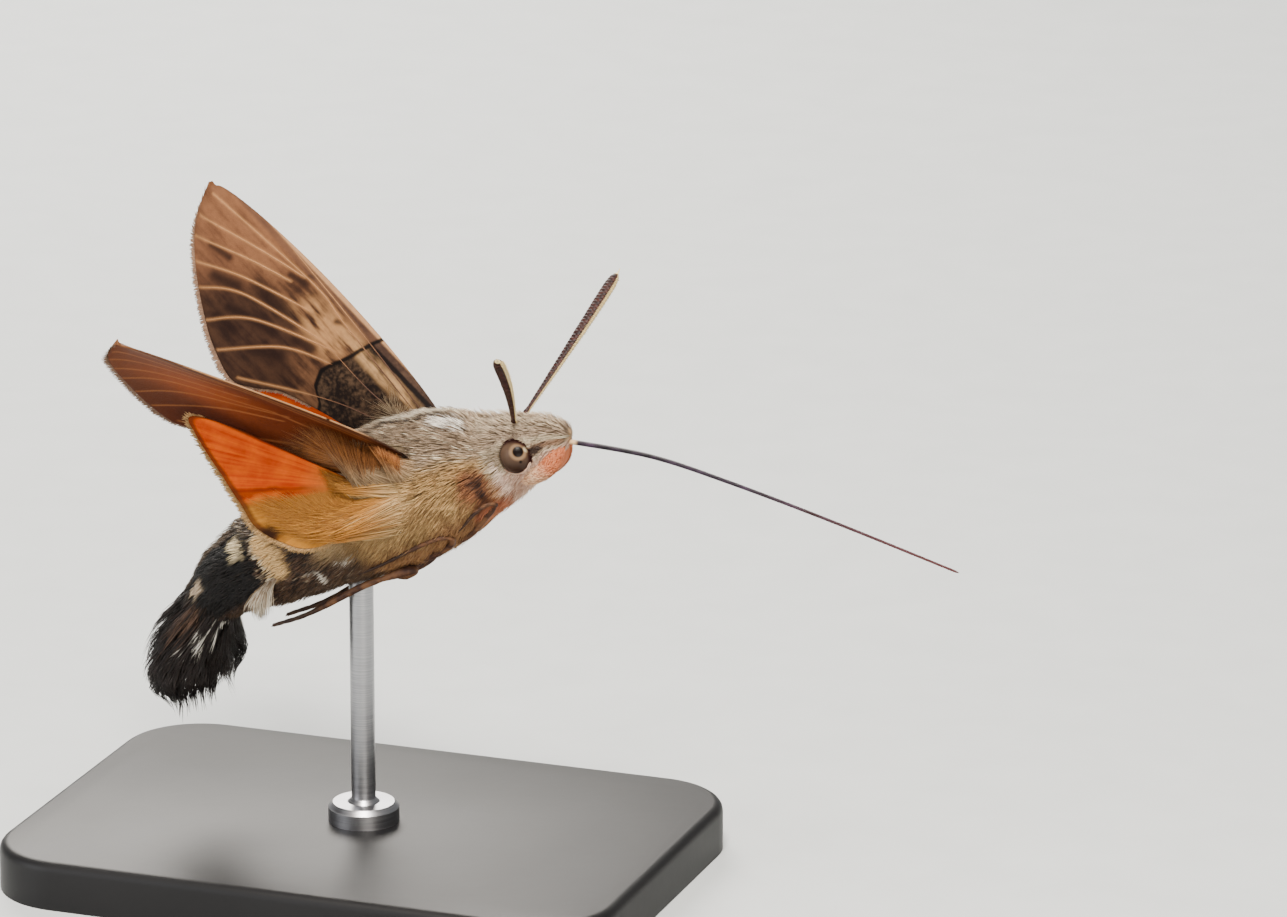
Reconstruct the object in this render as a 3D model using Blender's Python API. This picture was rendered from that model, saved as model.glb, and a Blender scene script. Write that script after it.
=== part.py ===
"""Hummingbird hawk moth, life size, hovering on a plain display stand.

The moth heads along +X with its left side at +Y and +Z up. The origin is the centre of the
underside of the stand's base. Sizes below are millimetres, and MM turns them into metres.
The solids give the outline of the moth in its coat: hairs and scales lie inside them.
"""
import math

import bmesh
import bpy
from mathutils import Vector

MM = 0.001
GAP = 0.1                       # cut between two nodes of the moth

# The moth's place over the base: the middle of the thorax
THORAX_X = 3.6
THORAX_Z = 25.0

# Coated body: x and z of the centre line from the middle of the thorax, half width, half height
BODY = (
    (10.12, 4.08, 0.15, 0.15),
    (9.93, 4.08, 0.75, 0.60),
    (9.48, 4.02, 1.15, 0.98),
    (8.82, 3.82, 1.50, 1.42),
    (7.95, 3.42, 1.80, 1.85),
    (7.08, 3.00, 1.95, 2.22),
    (6.05, 2.48, 2.05, 2.60),
    (4.90, 1.93, 2.50, 3.03),
    (3.00, 1.30, 3.35, 3.85),
    (0.80, 0.30, 3.90, 4.35),
    (-2.00, -1.10, 3.95, 4.45),
    (-4.60, -2.70, 3.75, 4.00),
    (-7.60, -4.55, 3.60, 3.45),
    (-10.15, -6.00, 3.45, 3.00),
    (-12.10, -7.35, 3.00, 2.45),
    (-13.40, -8.95, 2.50, 2.05),
    (-14.05, -10.70, 3.50, 2.35),
    (-14.40, -12.10, 4.35, 2.60),
    (-14.45, -13.40, 4.25, 2.40),
    (-14.20, -14.70, 2.70, 1.15),
)
# Cuts across the body, in stations counted along BODY, and rings made in each length
BODY_NODES = (
    ("head", 0.0, 6.45, 12),
    ("neck", 6.45, 7.30, 4),
    ("thorax", 7.30, 10.65, 9),
    ("abdomen_1", 10.65, 11.40, 3),
    ("abdomen_2", 11.40, 12.10, 3),
    ("abdomen_3", 12.10, 12.80, 3),
    ("abdomen_4", 12.80, 13.50, 3),
    ("abdomen_5", 13.50, 14.20, 3),
    ("abdomen_6", 14.20, 15.00, 4),
    ("tail_fan", 15.00, 19.00, 9),
)
RING_SIDES = 18

EYE_RADIUS = 1.08
EYE_CENTRE = (7.14, 1.28, 2.95)
EYE_SEGMENTS = 16
EYE_RINGS = 9
SOCKET_GAP = 0.06

# Centre line and radius of the left palp, from under the eye to the tip
PALP = (
    (7.25, 0.80, 1.45, 0.55),
    (7.88, 0.82, 1.75, 0.72),
    (8.52, 0.80, 2.10, 0.76),
    (9.04, 0.76, 2.60, 0.74),
    (9.34, 0.68, 3.15, 0.62),
    (9.52, 0.58, 3.55, 0.42),
    (9.62, 0.52, 3.80, 0.15),
)
PALP_RINGS = 12
PALP_SIDES = 14

# Proboscis: the points its centre line passes through, its lengths and its radius
PROBOSCIS = ((10.28, 3.72), (15.3, 3.32), (20.4, 2.18), (26.9, 0.42), (34.6, -1.85))
PROBOSCIS_RADIUS = 0.25
PROBOSCIS_NODES = (("proboscis_root", 0.0, 1.0), ("proboscis_middle", 1.0, 2.0),
                   ("proboscis_end", 2.0, 4.0))
PROBOSCIS_RINGS = 9
TUBE_SIDES = 8

# Left antenna: its root, the vector to its tip, and its radius from root to tip
ANTENNA_ROOT = (6.75, 0.75, 4.75)
ANTENNA_REACH = (2.5, 9.1, 6.5)
ANTENNA_BOW = (0.15, 0.0, 0.15)
ANTENNA_RINGS = 15
ANTENNA_RADII = ((0.0, 0.25), (0.35, 0.25), (0.75, 0.30), (0.90, 0.31), (0.96, 0.27), (1.0, 0.25))

# Wings: the root, a vector towards the wing's tip, and a vector that lies in the wing and
# points towards its rear edge. Only the directions of the two vectors count
WING_THICKNESS = 0.5
FOREWING_LENGTH = 21.7
WINGS = {
    "forewing_left": ((0.9, 3.1, 2.5), (-16.9, 3.3, 13.6), (-14.2, 0.4, 1.7)),
    "forewing_right": ((0.9, -3.1, 2.4), (-12.4, -14.5, 10.0), (-12.4, -4.6, 3.15)),
    "hindwing_left": ((-1.6, 3.7, 0.85), (-12.1, 1.4, 2.9), (-3.2, 2.4, -3.8)),
    "hindwing_right": ((-1.7, -3.8, 0.8), (-9.4, -6.7, 4.9), (-3.0, -2.7, -3.7)),
}
# How far the root of a forewing is turned down at its rear edge, in degrees, fading to the tip
WING_TWIST = {"forewing_left": 0.0, "forewing_right": 25.0}
# Forewing's rear edge, along and across the wing, from the root round the rear corner to the tip
FOREWING_REAR = ((0.0, 2.0), (3.0, 3.8), (6.5, 4.9), (9.3, 5.9), (10.9, 7.1), (12.3, 7.75),
                 (14.6, 7.1), (16.6, 6.0), (18.6, 4.6), (20.3, 3.0), (21.3, 1.3), (21.7, 0.1))
FOREWING_FRONT_BULGE = 1.15
FOREWING_CAMBER = 0.7
FOREWING_GRID = (18, 6)
# Hindwing's edge: the angle in degrees from its front edge and the distance from its root
HINDWING_EDGE = ((-5.5, 8.6), (-4.5, 10.9), (-2.5, 11.9), (1.5, 11.1), (7.0, 10.0), (15.0, 8.75),
                 (27.0, 7.65), (38.0, 7.15), (46.0, 6.6), (54.0, 6.0), (65.0, 5.3), (76.0, 4.25),
                 (84.0, 3.0))
HINDWING_START = 0.7            # the distance from its root at which the hindwing's skin begins
HINDWING_CAMBER = 0.5
HINDWING_GRID = (13, 7)

# Legs, folded along the underside: each point is a station of the body, an angle in degrees
# from the middle of the underside and a height over the coat
LEG_RADIUS = 0.25
LEG_RINGS = 15
LEGS = {
    "leg_front": ((8.75, 14, 0.4), (8.2, 17, 0.5), (7.6, 22, 0.5), (7.15, 30, 0.45), (6.95, 40, 0.5),
                  (7.2, 46, 0.5), (7.6, 43, 0.5), (8.0, 38, 0.45), (8.35, 35, 0.45)),
    "leg_middle": ((9.7, 16, 0.4), (9.2, 19, 0.5), (8.8, 24, 0.5), (8.65, 33, 0.5), (8.85, 42, 0.5),
                   (9.3, 44, 0.5), (9.9, 42, 0.5), (10.5, 39, 0.5), (11.0, 37, 0.5)),
    "leg_hind": ((10.5, 10, 0.4), (10.2, 14, 0.5), (9.9, 20, 0.5), (10.1, 25, 0.5), (10.6, 24, 0.5),
                 (11.1, 22, 0.5), (11.6, 20, 0.7), (12.1, 18, 0.95), (12.6, 16, 1.1), (13.1, 15, 1.15),
                 (13.45, 14, 1.2)),
}

# Pale tuft that hangs from each side of the abdomen: station, angle, height over the coat, radius
SIDE_TUFT = ((12.4, 72, 0.35, 0.25), (12.65, 66, 0.50, 0.36), (12.85, 58, 0.68, 0.40),
             (13.0, 50, 0.92, 0.34), (13.12, 43, 1.25, 0.25))
SIDE_TUFT_RINGS = 8

# Stand
BASE_LENGTH = 40.0
BASE_WIDTH = 28.0
BASE_HEIGHT = 3.0
BASE_EDGE = 0.6
BASE_CORNER = 5.0
CORNER_SEGMENTS = 6
EDGE_SEGMENTS = 2
ROD_X = 0.0
ROD_RADIUS = 0.75
ROD_TOP = 22.0
ROD_FOOT_RADIUS = 2.2
ROD_FOOT_HEIGHT = 1.2
ROD_FOOT_SLOPE = 0.4
ROD_STEPS = 16


def clear_scene():
    for old in list(bpy.data.objects):
        bpy.data.objects.remove(old, do_unlink=True)


def material(name, colour, roughness, metallic=0.0):
    made = bpy.data.materials.get(name)
    if made is None:
        made = bpy.data.materials.new(name)
        made.use_nodes = True
        shader = made.node_tree.nodes["Principled BSDF"]
        shader.inputs["Base Color"].default_value = (*colour, 1.0)
        shader.inputs["Roughness"].default_value = roughness
        shader.inputs["Metallic"].default_value = metallic
    return made


def place(x, y, z):
    """A point given from the middle of the thorax in millimetres, in metres from the base."""
    return Vector(((x + THORAX_X) * MM, y * MM, (z + THORAX_Z) * MM))


def add_object(name, bm, finish, smooth=True):
    mesh = bpy.data.meshes.new(name)
    bm.to_mesh(mesh)
    bm.free()
    if smooth:
        mesh.shade_smooth()
        mesh.set_sharp_from_angle(angle=math.radians(50))
    mesh.materials.append(finish)
    made = bpy.data.objects.new(name, mesh)
    bpy.context.scene.collection.objects.link(made)
    return made


def smooth_value(rows, at):
    """The row of numbers at a fractional index, on a curve through all the rows."""
    last = len(rows) - 1
    low = min(max(int(math.floor(at)), 0), last - 1)
    t = at - low
    before, start, end, after = (rows[min(max(low + step, 0), last)] for step in (-1, 0, 1, 2))
    values = []
    for a, b, c, d in zip(before, start, end, after):
        values.append(0.5 * (2 * b + (c - a) * t + (2 * a - 5 * b + 4 * c - d) * t ** 2
                             + (3 * b - a - 3 * c + d) * t ** 3))
    return values


def curve_at(rows, position):
    """The second column at a position in the first, on a smooth curve through the rows."""
    low, high = 0.0, len(rows) - 1.0
    for _ in range(30):
        middle = (low + high) / 2
        if smooth_value(rows, middle)[0] < position:
            low = middle
        else:
            high = middle
    return smooth_value(rows, low)[1]


def body_frame(station):
    """Centre, upward direction in the body's plane, half width and half height at a station."""
    x, z, half_width, half_height = smooth_value(BODY, station)
    ahead = smooth_value(BODY, max(station - 0.25, 0.0))
    behind = smooth_value(BODY, min(station + 0.25, len(BODY) - 1.0))
    run = Vector((ahead[0] - behind[0], 0, ahead[1] - behind[1])).normalized()
    up = Vector((-run.z, 0, run.x))
    return Vector((x, 0, z)), run, up, half_width, half_height


def body_point(station, degrees, lift=0.0, shift=0.0):
    """A point over the coat, at an angle round from the middle of the underside to the left."""
    centre, run, up, half_width, half_height = body_frame(station)
    angle = math.radians(degrees)
    outward = Vector((0, math.sin(angle) * half_height, 0)) - up * math.cos(angle) * half_width
    outward.normalize()
    offset = Vector((0, math.sin(angle) * half_width, 0)) - up * math.cos(angle) * half_height
    return centre + offset + outward * lift + run * shift


def loft(rings):
    """A closed body through rings of points, with a flat face at each end."""
    bm = bmesh.new()
    loops = []
    for ring in rings:
        corners = [bm.verts.new(place(*point)) for point in ring]
        loops.append([bm.edges.new((a, b)) for a, b in zip(corners, corners[1:] + corners[:1])])
    for front, back in zip(loops, loops[1:]):
        bmesh.ops.bridge_loops(bm, edges=front + back)
    bmesh.ops.holes_fill(bm, edges=bm.edges[:], sides=0)
    bmesh.ops.recalc_face_normals(bm, faces=bm.faces[:])
    return bm


def body_node(name, first, last, ring_count, finish):
    rings = []
    for index in range(ring_count):
        share = index / (ring_count - 1)
        station = first + (last - first) * share
        shift = 0.0
        if index == 0 and first > 0:
            shift = -GAP / 2
        if index == ring_count - 1 and last < len(BODY) - 1:
            shift = GAP / 2
        step = 360.0 / RING_SIDES
        rings.append([body_point(station, step * side, shift=shift) for side in range(RING_SIDES)])
    return add_object(name, loft(rings), finish)


def tube(name, points, radii, finish):
    """A round bar through the points, with a radius at each and flat ends."""
    points = [Vector(point) for point in points]
    rings = []
    across = Vector((0, 1, 0))
    for index, (point, radius) in enumerate(zip(points, radii)):
        run = points[min(index + 1, len(points) - 1)] - points[max(index - 1, 0)]
        run.normalize()
        across = (across - run * across.dot(run)).normalized()
        upward = run.cross(across)
        ring = []
        for side in range(TUBE_SIDES):
            angle = math.tau * side / TUBE_SIDES
            ring.append(point + (across * math.cos(angle) + upward * math.sin(angle)) * radius)
        rings.append(ring)
    return add_object(name, loft(rings), finish)


def cut_clear(target, other, gap):
    """Cuts one piece back from another, with a gap between them."""
    mesh = other.data.copy()
    bm = bmesh.new()
    bm.from_mesh(mesh)
    bmesh.ops.triangulate(bm, faces=bm.faces[:])
    bm.normal_update()
    moves = [(vert, vert.normal * gap * MM) for vert in bm.verts]
    for vert, move in moves:
        vert.co += move
    bm.to_mesh(mesh)
    bm.free()
    cutter = bpy.data.objects.new("cutter_" + target.name + "_" + other.name, mesh)
    bpy.context.scene.collection.objects.link(cutter)
    cutter.hide_render = True
    cutter.display_type = "WIRE"
    cut = target.modifiers.new("clear of " + other.name, "BOOLEAN")
    cut.operation = "DIFFERENCE"
    cut.object = cutter


def side_name(name, side):
    return name + ("_left" if side > 0 else "_right")


def make_eye(side):
    bm = bmesh.new()
    bmesh.ops.create_uvsphere(bm, u_segments=EYE_SEGMENTS, v_segments=EYE_RINGS,
                              radius=EYE_RADIUS * MM)
    x, y, z = EYE_CENTRE
    bmesh.ops.translate(bm, verts=bm.verts[:], vec=place(x, y * side, z))
    return add_object(side_name("eye", side), bm, material("eye", (0.16, 0.12, 0.10), 0.2))


def make_palp(side):
    finish = material("palp", (0.62, 0.36, 0.27), 0.85)
    rings = []
    for index in range(PALP_RINGS):
        at = index * (len(PALP) - 1) / (PALP_RINGS - 1)
        x, y, z, radius = smooth_value(PALP, at)
        ahead = smooth_value(PALP, min(at + 0.2, len(PALP) - 1))
        behind = smooth_value(PALP, max(at - 0.2, 0))
        run = Vector((ahead[0] - behind[0], 0, ahead[2] - behind[2])).normalized()
        out = Vector((-run.z, 0, run.x))
        ring = []
        for step in range(PALP_SIDES):
            angle = math.tau * step / PALP_SIDES
            across = Vector((0, math.cos(angle) * min(radius, y - GAP / 2), 0))
            ring.append(Vector((x, y, z)) + across + out * math.sin(angle) * radius)
        rings.append([Vector((p.x, p.y * side, p.z)) for p in ring])
    return add_object(side_name("palp", side), loft(rings), finish)


def make_proboscis():
    finish = material("proboscis", (0.13, 0.07, 0.09), 0.35)
    for name, first, last in PROBOSCIS_NODES:
        points = []
        for index in range(PROBOSCIS_RINGS):
            share = index / (PROBOSCIS_RINGS - 1)
            x, z = smooth_value(PROBOSCIS, first + (last - first) * share)
            if index == 0 and first > 0:
                x += GAP
            points.append((x, 0, z))
        tube(name, points, [PROBOSCIS_RADIUS] * PROBOSCIS_RINGS, finish)


def make_antenna(side, head):
    """One feeler, a little bowed, thickening to its club and thin again at the hook."""
    finish = material("antenna", (0.10, 0.06, 0.05), 0.6)
    root = Vector(ANTENNA_ROOT)
    reach = Vector(ANTENNA_REACH)
    points = []
    radii = []
    for index in range(ANTENNA_RINGS):
        share = index / (ANTENNA_RINGS - 1)
        point = root + reach * share + Vector(ANTENNA_BOW) * math.sin(math.pi * share)
        points.append((point.x, point.y * side, point.z))
        radii.append(curve_at(ANTENNA_RADII, share))
    made = tube(side_name("antenna", side), points, radii, finish)
    cut_clear(made, head, GAP)


def wing_frame(name):
    root, reach, rearward = (Vector(part) for part in WINGS[name])
    along = reach.normalized()
    across = (rearward - along * rearward.dot(along)).normalized()
    up = along.cross(across)
    if name.endswith("right"):
        up = -up
    return root, along, across, up


def forewing_surface(name, along_share, across_share):
    """A point of the forewing: shares of its length from the root and of its chord from the front."""
    root, along, across, up = wing_frame(name)
    u = FOREWING_LENGTH * along_share
    front = -FOREWING_FRONT_BULGE * math.sin(math.pi * min(along_share * 1.02, 1.0)) ** 0.5
    rear = curve_at(FOREWING_REAR, u)
    v = front + (rear - front) * across_share
    camber = FOREWING_CAMBER * math.sin(math.pi * across_share) * (1 - along_share * 0.6)
    twist = math.radians(WING_TWIST[name]) * (1 - along_share) ** 2
    across = across * math.cos(twist) - up * math.sin(twist)
    return root + along * u + across * v + up * camber


def hindwing_surface(name, angle_share, reach_share):
    """A point of the hindwing: a share of the way round from its front edge and out from its root."""
    root, along, across, up = wing_frame(name)
    first, last = HINDWING_EDGE[0][0], HINDWING_EDGE[-1][0]
    degrees = first + (last - first) * angle_share
    reach = curve_at(HINDWING_EDGE, degrees)
    distance = HINDWING_START + (reach - HINDWING_START) * reach_share
    angle = math.radians(degrees)
    camber = HINDWING_CAMBER * math.sin(math.pi * angle_share) * reach_share
    return root + (along * math.cos(angle) + across * math.sin(angle)) * distance + up * camber


def make_wing(name, surface, grid, finish, thorax):
    bm = bmesh.new()
    bmesh.ops.create_grid(bm, x_segments=grid[0], y_segments=grid[1], size=0.5)
    for vert in bm.verts:
        point = surface(name, vert.co.x + 0.5, vert.co.y + 0.5)
        vert.co = place(*point)
    bmesh.ops.recalc_face_normals(bm, faces=bm.faces[:])
    wing = add_object(name, bm, finish)
    wall = wing.modifiers.new("membrane", "SOLIDIFY")
    wall.thickness = WING_THICKNESS * MM
    wall.offset = 0.0
    wall.use_even_offset = True
    cut_clear(wing, thorax, GAP)


def make_leg(name, route, side, finish):
    points = []
    for index in range(LEG_RINGS):
        at = index * (len(route) - 1) / (LEG_RINGS - 1)
        station, degrees, lift = smooth_value(route, at)
        points.append(body_point(station, degrees * side, lift=lift))
    tube(side_name(name, side), points, [LEG_RADIUS] * LEG_RINGS, finish)


def make_side_tuft(side):
    finish = material("pale tuft", (0.70, 0.62, 0.50), 0.9)
    points = []
    radii = []
    for index in range(SIDE_TUFT_RINGS):
        at = index * (len(SIDE_TUFT) - 1) / (SIDE_TUFT_RINGS - 1)
        station, degrees, lift, radius = smooth_value(SIDE_TUFT, at)
        points.append(body_point(station, degrees * side, lift=lift))
        radii.append(radius)
    tube(side_name("side_tuft", side), points, radii, finish)


def make_stand(belly):
    finish = material("stand", (0.03, 0.03, 0.035), 0.4)
    metal = material("stand rod", (0.45, 0.45, 0.46), 0.3, 1.0)
    bm = bmesh.new()
    bmesh.ops.create_cube(bm, size=1.0)
    bmesh.ops.scale(bm, verts=bm.verts[:], vec=(BASE_LENGTH * MM, BASE_WIDTH * MM, BASE_HEIGHT * MM))
    bmesh.ops.translate(bm, verts=bm.verts[:], vec=(0, 0, BASE_HEIGHT * MM / 2))
    half = BASE_HEIGHT * MM / 2
    uprights = [edge for edge in bm.edges if abs(edge.verts[0].co.z - edge.verts[1].co.z) > half]
    bmesh.ops.bevel(bm, geom=uprights, offset=BASE_CORNER * MM, offset_type="OFFSET", affect="EDGES",
                    segments=CORNER_SEGMENTS, profile=0.5, material=-1)
    rim = [edge for edge in bm.edges if all(vert.co.z > half for vert in edge.verts)]
    bmesh.ops.bevel(bm, geom=rim, offset=BASE_EDGE * MM, offset_type="OFFSET", affect="EDGES",
                    segments=EDGE_SEGMENTS, profile=0.5, material=-1)
    add_object("stand_base", bm, finish)

    bm = bmesh.new()
    profile = ((0.0, 0.0), (ROD_FOOT_RADIUS, 0.0), (ROD_FOOT_RADIUS, ROD_FOOT_HEIGHT * 0.6),
               (ROD_FOOT_RADIUS - ROD_FOOT_SLOPE, ROD_FOOT_HEIGHT), (ROD_RADIUS, ROD_FOOT_HEIGHT),
               (ROD_RADIUS, ROD_TOP), (0.0, ROD_TOP))
    foot = BASE_HEIGHT + GAP
    corners = [bm.verts.new(((ROD_X + r) * MM, 0, (foot + h) * MM)) for r, h in profile]
    edges = [bm.edges.new((a, b)) for a, b in zip(corners, corners[1:])]
    bmesh.ops.spin(bm, geom=corners + edges, cent=(ROD_X * MM, 0, 0), axis=(0, 0, 1),
                   angle=math.tau, steps=ROD_STEPS, use_merge=True)
    bmesh.ops.remove_doubles(bm, verts=bm.verts[:], dist=0.0001 * MM)
    bmesh.ops.recalc_face_normals(bm, faces=bm.faces[:])
    rod = add_object("stand_rod", bm, metal)
    for part in belly:
        cut_clear(rod, part, GAP)


def make_moth():
    coats = {
        "head": material("head coat", (0.33, 0.28, 0.22), 0.9),
        "neck": material("neck coat", (0.30, 0.25, 0.20), 0.9),
        "thorax": material("thorax coat", (0.34, 0.26, 0.17), 0.9),
        "tail_fan": material("tail coat", (0.03, 0.02, 0.018), 0.9),
    }
    abdomen = material("abdomen coat", (0.12, 0.08, 0.06), 0.9)
    body = {}
    for name, first, last, ring_count in BODY_NODES:
        body[name] = body_node(name, first, last, ring_count, coats.get(name, abdomen))
    head = body["head"]
    for side in (1, -1):
        eye = make_eye(side)
        palp = make_palp(side)
        cut_clear(palp, eye, SOCKET_GAP)
        cut_clear(head, eye, SOCKET_GAP)
        cut_clear(head, palp, SOCKET_GAP)
        make_antenna(side, head)
    make_proboscis()
    forewing = material("forewing", (0.16, 0.11, 0.09), 0.7)
    hindwing = material("hindwing", (0.65, 0.22, 0.03), 0.6)
    sides = {"left": 1, "right": -1}
    for label in sides:
        make_wing("forewing_" + label, forewing_surface, FOREWING_GRID, forewing, body["thorax"])
        make_wing("hindwing_" + label, hindwing_surface, HINDWING_GRID, hindwing, body["thorax"])
    leg_finish = material("leg", (0.16, 0.10, 0.07), 0.8)
    for name, route in LEGS.items():
        for side in sides.values():
            make_leg(name, route, side, leg_finish)
    for side in sides.values():
        make_side_tuft(side)
    return body


clear_scene()
moth = make_moth()
make_stand([moth["thorax"], moth["abdomen_1"], moth["abdomen_2"]])
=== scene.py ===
"""Hummingbird hawk moth, life size, hovering on its display stand: the looks of every surface."""
import math

import bmesh
import bpy
import numpy as np
from mathutils import Matrix, Vector


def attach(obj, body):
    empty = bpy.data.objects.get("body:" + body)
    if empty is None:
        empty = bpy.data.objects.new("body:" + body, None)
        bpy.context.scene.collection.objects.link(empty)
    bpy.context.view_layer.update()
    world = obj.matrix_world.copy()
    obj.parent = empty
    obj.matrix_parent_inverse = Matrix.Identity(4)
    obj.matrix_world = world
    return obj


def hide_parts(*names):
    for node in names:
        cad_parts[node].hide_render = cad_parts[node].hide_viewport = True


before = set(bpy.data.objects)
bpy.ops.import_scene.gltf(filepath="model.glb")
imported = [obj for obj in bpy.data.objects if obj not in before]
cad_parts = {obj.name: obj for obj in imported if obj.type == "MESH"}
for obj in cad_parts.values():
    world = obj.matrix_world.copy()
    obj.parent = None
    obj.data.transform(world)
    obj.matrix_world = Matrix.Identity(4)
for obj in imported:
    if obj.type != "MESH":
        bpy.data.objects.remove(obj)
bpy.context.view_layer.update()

# Camera, floor and light
# A close-up from under half a metre, 20 degrees round towards the moth's face and 17 degrees
# above it. The floor is one pale matt sheet, and four soft boxes light the moth.
MM = 0.001
THORAX = Vector((3.6, 0.0, 25.0))           # middle of the thorax over the stand, mm
FRAME_WIDTH_PX = 1287
FRAME_HEIGHT_PX = 917
THORAX_PX = (415.0, 484.0)
PX_PER_MM = 16.5
CAMERA_DISTANCE = 450.0
CAMERA_AZIMUTH = math.radians(20.0)
CAMERA_HEIGHT_ANGLE = math.radians(17.0)
SENSOR = 23.6


def view_axes(azimuth, height):
    right = Vector((math.cos(azimuth), math.sin(azimuth), 0.0))
    back = Vector((math.sin(azimuth) * math.cos(height), -math.cos(azimuth) * math.cos(height),
                   math.sin(height)))
    return right, back.cross(right), back


view_right, view_up, view_back = view_axes(CAMERA_AZIMUTH, CAMERA_HEIGHT_ANGLE)
aim = (THORAX + view_right * ((FRAME_WIDTH_PX / 2 - THORAX_PX[0]) / PX_PER_MM)
       + view_up * ((THORAX_PX[1] - FRAME_HEIGHT_PX / 2) / PX_PER_MM))
camera_data = bpy.data.cameras.new("camera")
camera = bpy.data.objects.new("camera", camera_data)
bpy.context.scene.collection.objects.link(camera)
camera_data.sensor_width = SENSOR
camera_data.lens = CAMERA_DISTANCE * PX_PER_MM * SENSOR / FRAME_WIDTH_PX
camera_data.clip_start = 0.01
camera_data.clip_end = 20.0
camera.matrix_world = Matrix.Translation((aim + view_back * CAMERA_DISTANCE) * MM) @ Matrix(
    (view_right, view_up, view_back)).transposed().to_4x4()
bpy.context.scene.camera = camera


def soft_box(name, place, size, power, colour):
    """An area light at a place in millimetres, aimed at the moth."""
    data = bpy.data.lights.new(name, "AREA")
    data.shape = "SQUARE"
    data.size = size * MM
    data.energy = power
    data.color = colour
    light = bpy.data.objects.new(name, data)
    bpy.context.scene.collection.objects.link(light)
    light.location = Vector(place) * MM
    light.rotation_euler = (THORAX - Vector(place)).to_track_quat("-Z", "Y").to_euler()


soft_box("key light", (60, -150, 330), 110, 3.5, (1.0, 0.94, 0.86))
soft_box("fill light", (-655, -650, 275), 640, 8.0, (0.97, 0.97, 1.0))
soft_box("back light", (-150, 260, 220), 180, 2.2, (1.0, 0.95, 0.88))
soft_box("low light", (395, -550, 80), 360, 4.6, (1.0, 0.93, 0.84))
world = bpy.data.worlds.new("studio")
bpy.context.scene.world = world
world.use_nodes = True
world.node_tree.nodes["Background"].inputs["Color"].default_value = (0.84, 0.85, 0.86, 1)
world.node_tree.nodes["Background"].inputs["Strength"].default_value = 0.42


def pigment(red, green, blue):
    """A colour from 0 to 255 as it shows on a screen under the studio's light, made deep enough
    in linear values to stand up to that light."""
    values = []
    for value in (red, green, blue):
        linear = ((value / 255 + 0.055) / 1.055) ** 2.4
        values.append(0.92 * linear ** 1.3)
    return (*values, 1.0)


class Wire:
    """A number on its way through a material: sums on it add Math nodes."""

    def __init__(self, tree, socket):
        self.tree = tree
        self.socket = socket

    def math(self, operation, *values):
        node = self.tree.nodes.new("ShaderNodeMath")
        node.operation = operation
        for slot, value in zip(node.inputs, values):
            if isinstance(value, Wire):
                self.tree.links.new(value.socket, slot)
            else:
                slot.default_value = value
        return Wire(self.tree, node.outputs[0])

    def __add__(self, other):
        return self.math("ADD", self, other)

    def __radd__(self, other):
        return self.math("ADD", other, self)

    def __sub__(self, other):
        return self.math("SUBTRACT", self, other)

    def __rsub__(self, other):
        return self.math("SUBTRACT", other, self)

    def __mul__(self, other):
        return self.math("MULTIPLY", self, other)

    def rise(self, low, high):
        """0 up to low, 1 from high, and a soft step between them."""
        node = self.tree.nodes.new("ShaderNodeMapRange")
        node.interpolation_type = "SMOOTHSTEP"
        self.tree.links.new(self.socket, node.inputs["Value"])
        node.inputs["From Min"].default_value = low
        node.inputs["From Max"].default_value = high
        return Wire(self.tree, node.outputs["Result"])

    def between(self, low, high, soft):
        return self.rise(low - soft, low + soft) * (1 - self.rise(high - soft, high + soft))

    def wave(self, length):
        """Swings between 0 and 1, once in each length."""
        return self.math("SINE", self * (math.tau / length)) * 0.5 + 0.5


MIX_SLOTS = (0, 6, 7)       # of a colour Mix node: the factor and the two colours


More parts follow.
